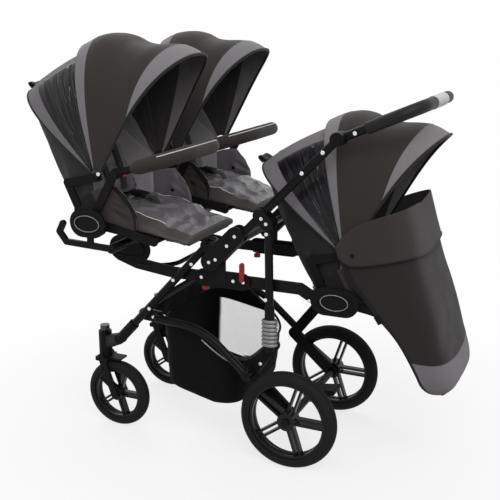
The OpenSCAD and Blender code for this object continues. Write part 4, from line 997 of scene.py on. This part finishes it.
def muff_point(u, v, proud):
    rear, front = along_line(muff_rear, v), along_line(muff_front, v)
    rear, front = Vector((rear[0], 0, rear[1])), Vector((front[0], 0, front[1]))
    ahead = (front - rear).normalized()
    half = (muff_half + proud) * (1 - 0.24 * v ** 6)
    s = (2 * u - 1) * pi / 2
    corner = 6.67 - 3.9 * v ** 4
    square = (abs(sin(s)) ** corner + max(cos(s), 0) ** corner) ** (-1 / corner)
    reach, y = square * max(cos(s), 0), half * square * sin(s)
    fold = 0.005 * abs(noise.noise(Vector((u * 6, v * 5, 1)))) * sin(pi * v) * reach
    return muff_hub + rear.lerp(front + ahead * (proud + fold), reach) + Vector((0, y, 0))


muff_shares = [k / 4000 for k in range(4001)]
muff_turns = evenly(muff_shares, [muff_point(u, 0.3, 0) for u in muff_shares], muff_columns)


def muff_shell(u, v):
    hem = 0.0016 * exp(-((v + toe_slope * abs(2 * u - 1) ** toe_power - toe_line) / 0.008) ** 2)
    return muff_point(muff_turns[round(u * muff_columns)], v, hem)


def flap_shell(u, v):
    beside = abs(2 * u - 1)
    turn = muff_turns[round(u * muff_columns)]
    drop = 0.185 - 0.08 * beside ** toe_power - 0.05 * beside ** 24
    roll = 0.0045 + 0.003 * v
    if v >= collar_share:
        return muff_point(turn, (v - collar_share) / (1 - collar_share) * drop, roll)
    top = muff_point(turn, 0, roll)
    upward = (top - muff_point(turn, 0.06, roll)).normalized()
    lift = (0.046 - 0.014 * (1 - beside) ** 2) * (1 - beside ** 10)
    return top + upward * lift * (1 - v / collar_share)


muff, area = cloth_piece("foot_muff_cloth", (muff_columns, 60), muff_shell, (1, 0, 0), "frame",
                         "charcoal_cloth", 0.003, muff_cloth, lining)
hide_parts("foot_muff")
hem = piping("foot_muff_hem", cross_line(muff_shell, 1, muff_columns), 0.0022, "frame",
             black_tape)
for name, u in (("left", 0.0), ("right", 1.0)):
    rounded_block("foot_muff_" + name + "_clip", (0.016, 0.006, 0.026), (0.002, 3),
                  laid(muff_shell(u, 0.40), radians(-35)), "frame", "plastic_black", nylon)
flap_cloth = plain_cloth("flap cloth", (0.028, 0.0232, 0.0225), (0.046, 0.0385, 0.0375), 0.72)
flap, area = cloth_piece("foot_muff_flap", (muff_columns, 40), flap_shell, (1, 0, 0), "frame",
                         "charcoal_cloth", 0.0035, flap_cloth, lining)
flap_hem = piping("foot_muff_flap_hem", cross_line(flap_shell, 1, muff_columns), 0.0022, "frame",
                  black_tape)
studs = [snap("foot_muff_" + name + "_snap", flap_shell(u, 0.72) + Vector((0, sign * 0.001, 0)),
              (0, sign, 0), "frame", nylon) for sign, name, u in ((-1, "left", 0.05), (1, "right", 0.95))]
max(0.16, area / 0.80 * 1.02)

# Shopping basket: a black polyester tub sewn to the lower arches, open at the top and lower towards the
# back. A pale mesh fills most of its far wall, and pale piping runs below the rim.
basket_middle = Vector((-0.1217, 0, 0))
basket_half, basket_side, basket_top, basket_base, basket_fall = 0.146, 0.2022, 0.392, 0.143, 0.124 * 0.9
basket_corner, basket_columns = 4.44, 96
tub, shader, places, _ = new_finish("basket cloth", Specular_IOR_Level=0.07)
shade, height = threads(places)
x, y, z = places.axes()
mesh_top = (z + x * 0.19).step(0.310, 0.314)
mesh_part = (y > 0.165) * z.step(0.154, 0.158) * (1.0 - mesh_top) * (x + 0.1).absolute().step(0.13, 0.12)
cells = ((x * 900.0).sine() * (z * 900.0).sine()).absolute()
tub_tone = shade.mix((0.0030, 0.0030, 0.0030), (0.0065, 0.0065, 0.0065))
feed(shader, Base_Color=mesh_part.mix(tub_tone, cells.mix((0.62, 0.62, 0.62), (0.80, 0.80, 0.80))),
     Roughness=shade * 0.2 + 0.6, Alpha=1.0 - mesh_part * (cells * 0.2 + 0.68),
     Normal=height.bump(0.0004, 0.5))


def basket_ring(u, v):
    turn = 2 * pi * u
    spread = 0.90 + 0.10 * v ** 0.5
    front_spread = 0.96 + 0.04 * v ** 0.5
    half_l = basket_half * (spread if cos(turn) > 0 else front_spread)
    half_w = basket_side * spread
    square = (abs(sin(turn)) ** basket_corner + abs(cos(turn)) ** basket_corner) ** -0.225
    x, y = half_l * square * cos(turn), half_w * square * sin(turn)
    fall = max(0, x / half_l) * basket_fall
    sag = 0.004 * noise.noise(Vector((cos(turn) * 2, sin(turn) * 2, v * 4))) * sin(pi * min(1, v + 0.1))
    inward = Vector((-cos(turn), -sin(turn), 0)) * (0.003 + abs(sag))
    base = basket_base + 0.040 * max(0, 0.35 - x / half_l) / 1.35
    return basket_middle + Vector((x, y, base + (basket_top - fall - base) * v)) + inward


bm = cloth_grid(basket_columns, 28, basket_ring, (0, 0, 0))
bmesh.ops.remove_doubles(bm, verts=bm.verts[:], dist=0.0001)
low_ring = [edge for edge in bm.edges if edge.is_boundary and edge.verts[0].co.z < 0.2]
bmesh.ops.holes_fill(bm, edges=low_ring, sides=0)
floor_face = [face for face in bm.faces if len(face.verts) > 4]
bmesh.ops.inset_region(bm, faces=floor_face, thickness=0.02)
bmesh.ops.recalc_face_normals(bm, faces=bm.faces[:])
area = cloth_area(bm)
basket = new_piece("basket_tub", bm, "rear_legs", "basket_cloth", tub, tub)
thicken(basket, 0.002)
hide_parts("basket")
basket_rim = piping("basket_rim", cross_line(basket_ring, 1, basket_columns)[:-1], 0.004, "rear_legs",
                    black_tape, closed=True)
for low_u, name in ((0.77, "left"), (0.14, "right")):
    edge = [basket_ring(low_u + 0.09 * k / 16, 0.88) for k in range(17)]
    piping("basket_" + name + "_piping", [p + Vector((0, 0.002 if p.y > 0 else -0.002, 0)) for p in edge],
           0.0023, "rear_legs", pale_tape)
max(0.26, area / 1.22 * 1.02)

# Basket apron: the front wall of the basket runs on upwards as a loose black panel under the brace. It
# waves a little and draws in at half its height.
apron_low, apron_high, apron_half = (-0.262, 0.388), (-0.252, 0.470), 0.184


def apron(u, v):
    across = 2 * u - 1
    wave = 0.004 * noise.noise(Vector((u * 7, v * 2, 4))) * sin(pi * v)
    x = apron_low[0] + (apron_high[0] - apron_low[0]) * v + 0.014 * across ** 6 * (1 - v) + wave
    y = apron_half * across * (1 - 0.04 * sin(pi * v))
    return Vector((x, y, apron_low[1] + (apron_high[1] - apron_low[1]) * v))


panel, area = cloth_piece("basket_apron", (48, 14), apron, (-1, 0, 0), "rear_legs", "basket_cloth",
                          thin_cloth, tub, tub)

# Last trim: pale oval rings pressed into the hub covers, bright rivets on the tubes of the frame, and a
# pale sleeve round the middle of the handle bar.
ring_paint = clouded("ring paint", (90.0, 2.0), (0.20, 0.20, 0.205), (0.30, 0.30, 0.31), 0.3,
                     Specular_IOR_Level=0.4)
ring_half, ring_tall, ring_out = 0.040, 0.0225, 0.2078
for seat in seats:
    hub = joint_at(seat + "_recline")
    for sign, name in sides:
        points = [hub + Vector((ring_half * cos(k * pi / 32), sign * ring_out, ring_tall * sin(k * pi / 32)))
                  for k in range(64)]
        piping(seat + "_" + name + "_hub_ring", points, 0.0014, "frame", ring_paint,
               closed=True)

frame_studs = (("front_leg", "front_legs", 0.2272, ((-0.2675, 0.4350), (-0.1825, 0.5363), (-0.1205, 0.5930))),
               ("push_tube", "frame", 0.2272, ((0.2774, 0.9450), (0.2193, 0.8856))),
               ("handle_arm", "handle", 0.2030, ((0.3566, 0.9972),)),
               ("rear_leg", "rear_legs", 0.2274, ((0.1156, 0.5142), (0.1170, 0.7068))),
               ("arch", "rear_legs", 0.2028, ((-0.2302, 0.4093), (-0.2684, 0.4005))),
               ("rail", "frame", 0.1968, ((0.2364, 0.5188),)),
               ("arm", "rear_axle", 0.1863, ((0.0833, 0.2984),)))
for tube, body, out, spots in frame_studs:
    for sign, name in sides:
        for k, (x, z) in enumerate(spots):
            snap(tube + "_" + name + "_rivet_" + str(k), Vector((x, sign * out, z)), (0, sign, 0), body,
                 bright)

sleeve_paint = clouded("handle sleeve", (60.0, 3.0), (0.50, 0.49, 0.48), (0.66, 0.65, 0.64), 0.35,
                       skin=(900.0, 0.0003, 0.4), Specular_IOR_Level=0.4)
low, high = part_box("handle_grip")
grip_radius = 0.017
points = [Vector((high.x - grip_radius, y, high.z - grip_radius)) for y in (-0.060, -0.020, 0.025, 0.070)]
piping("handle_sleeve", points, grip_radius + 0.0012, "handle", sleeve_paint)
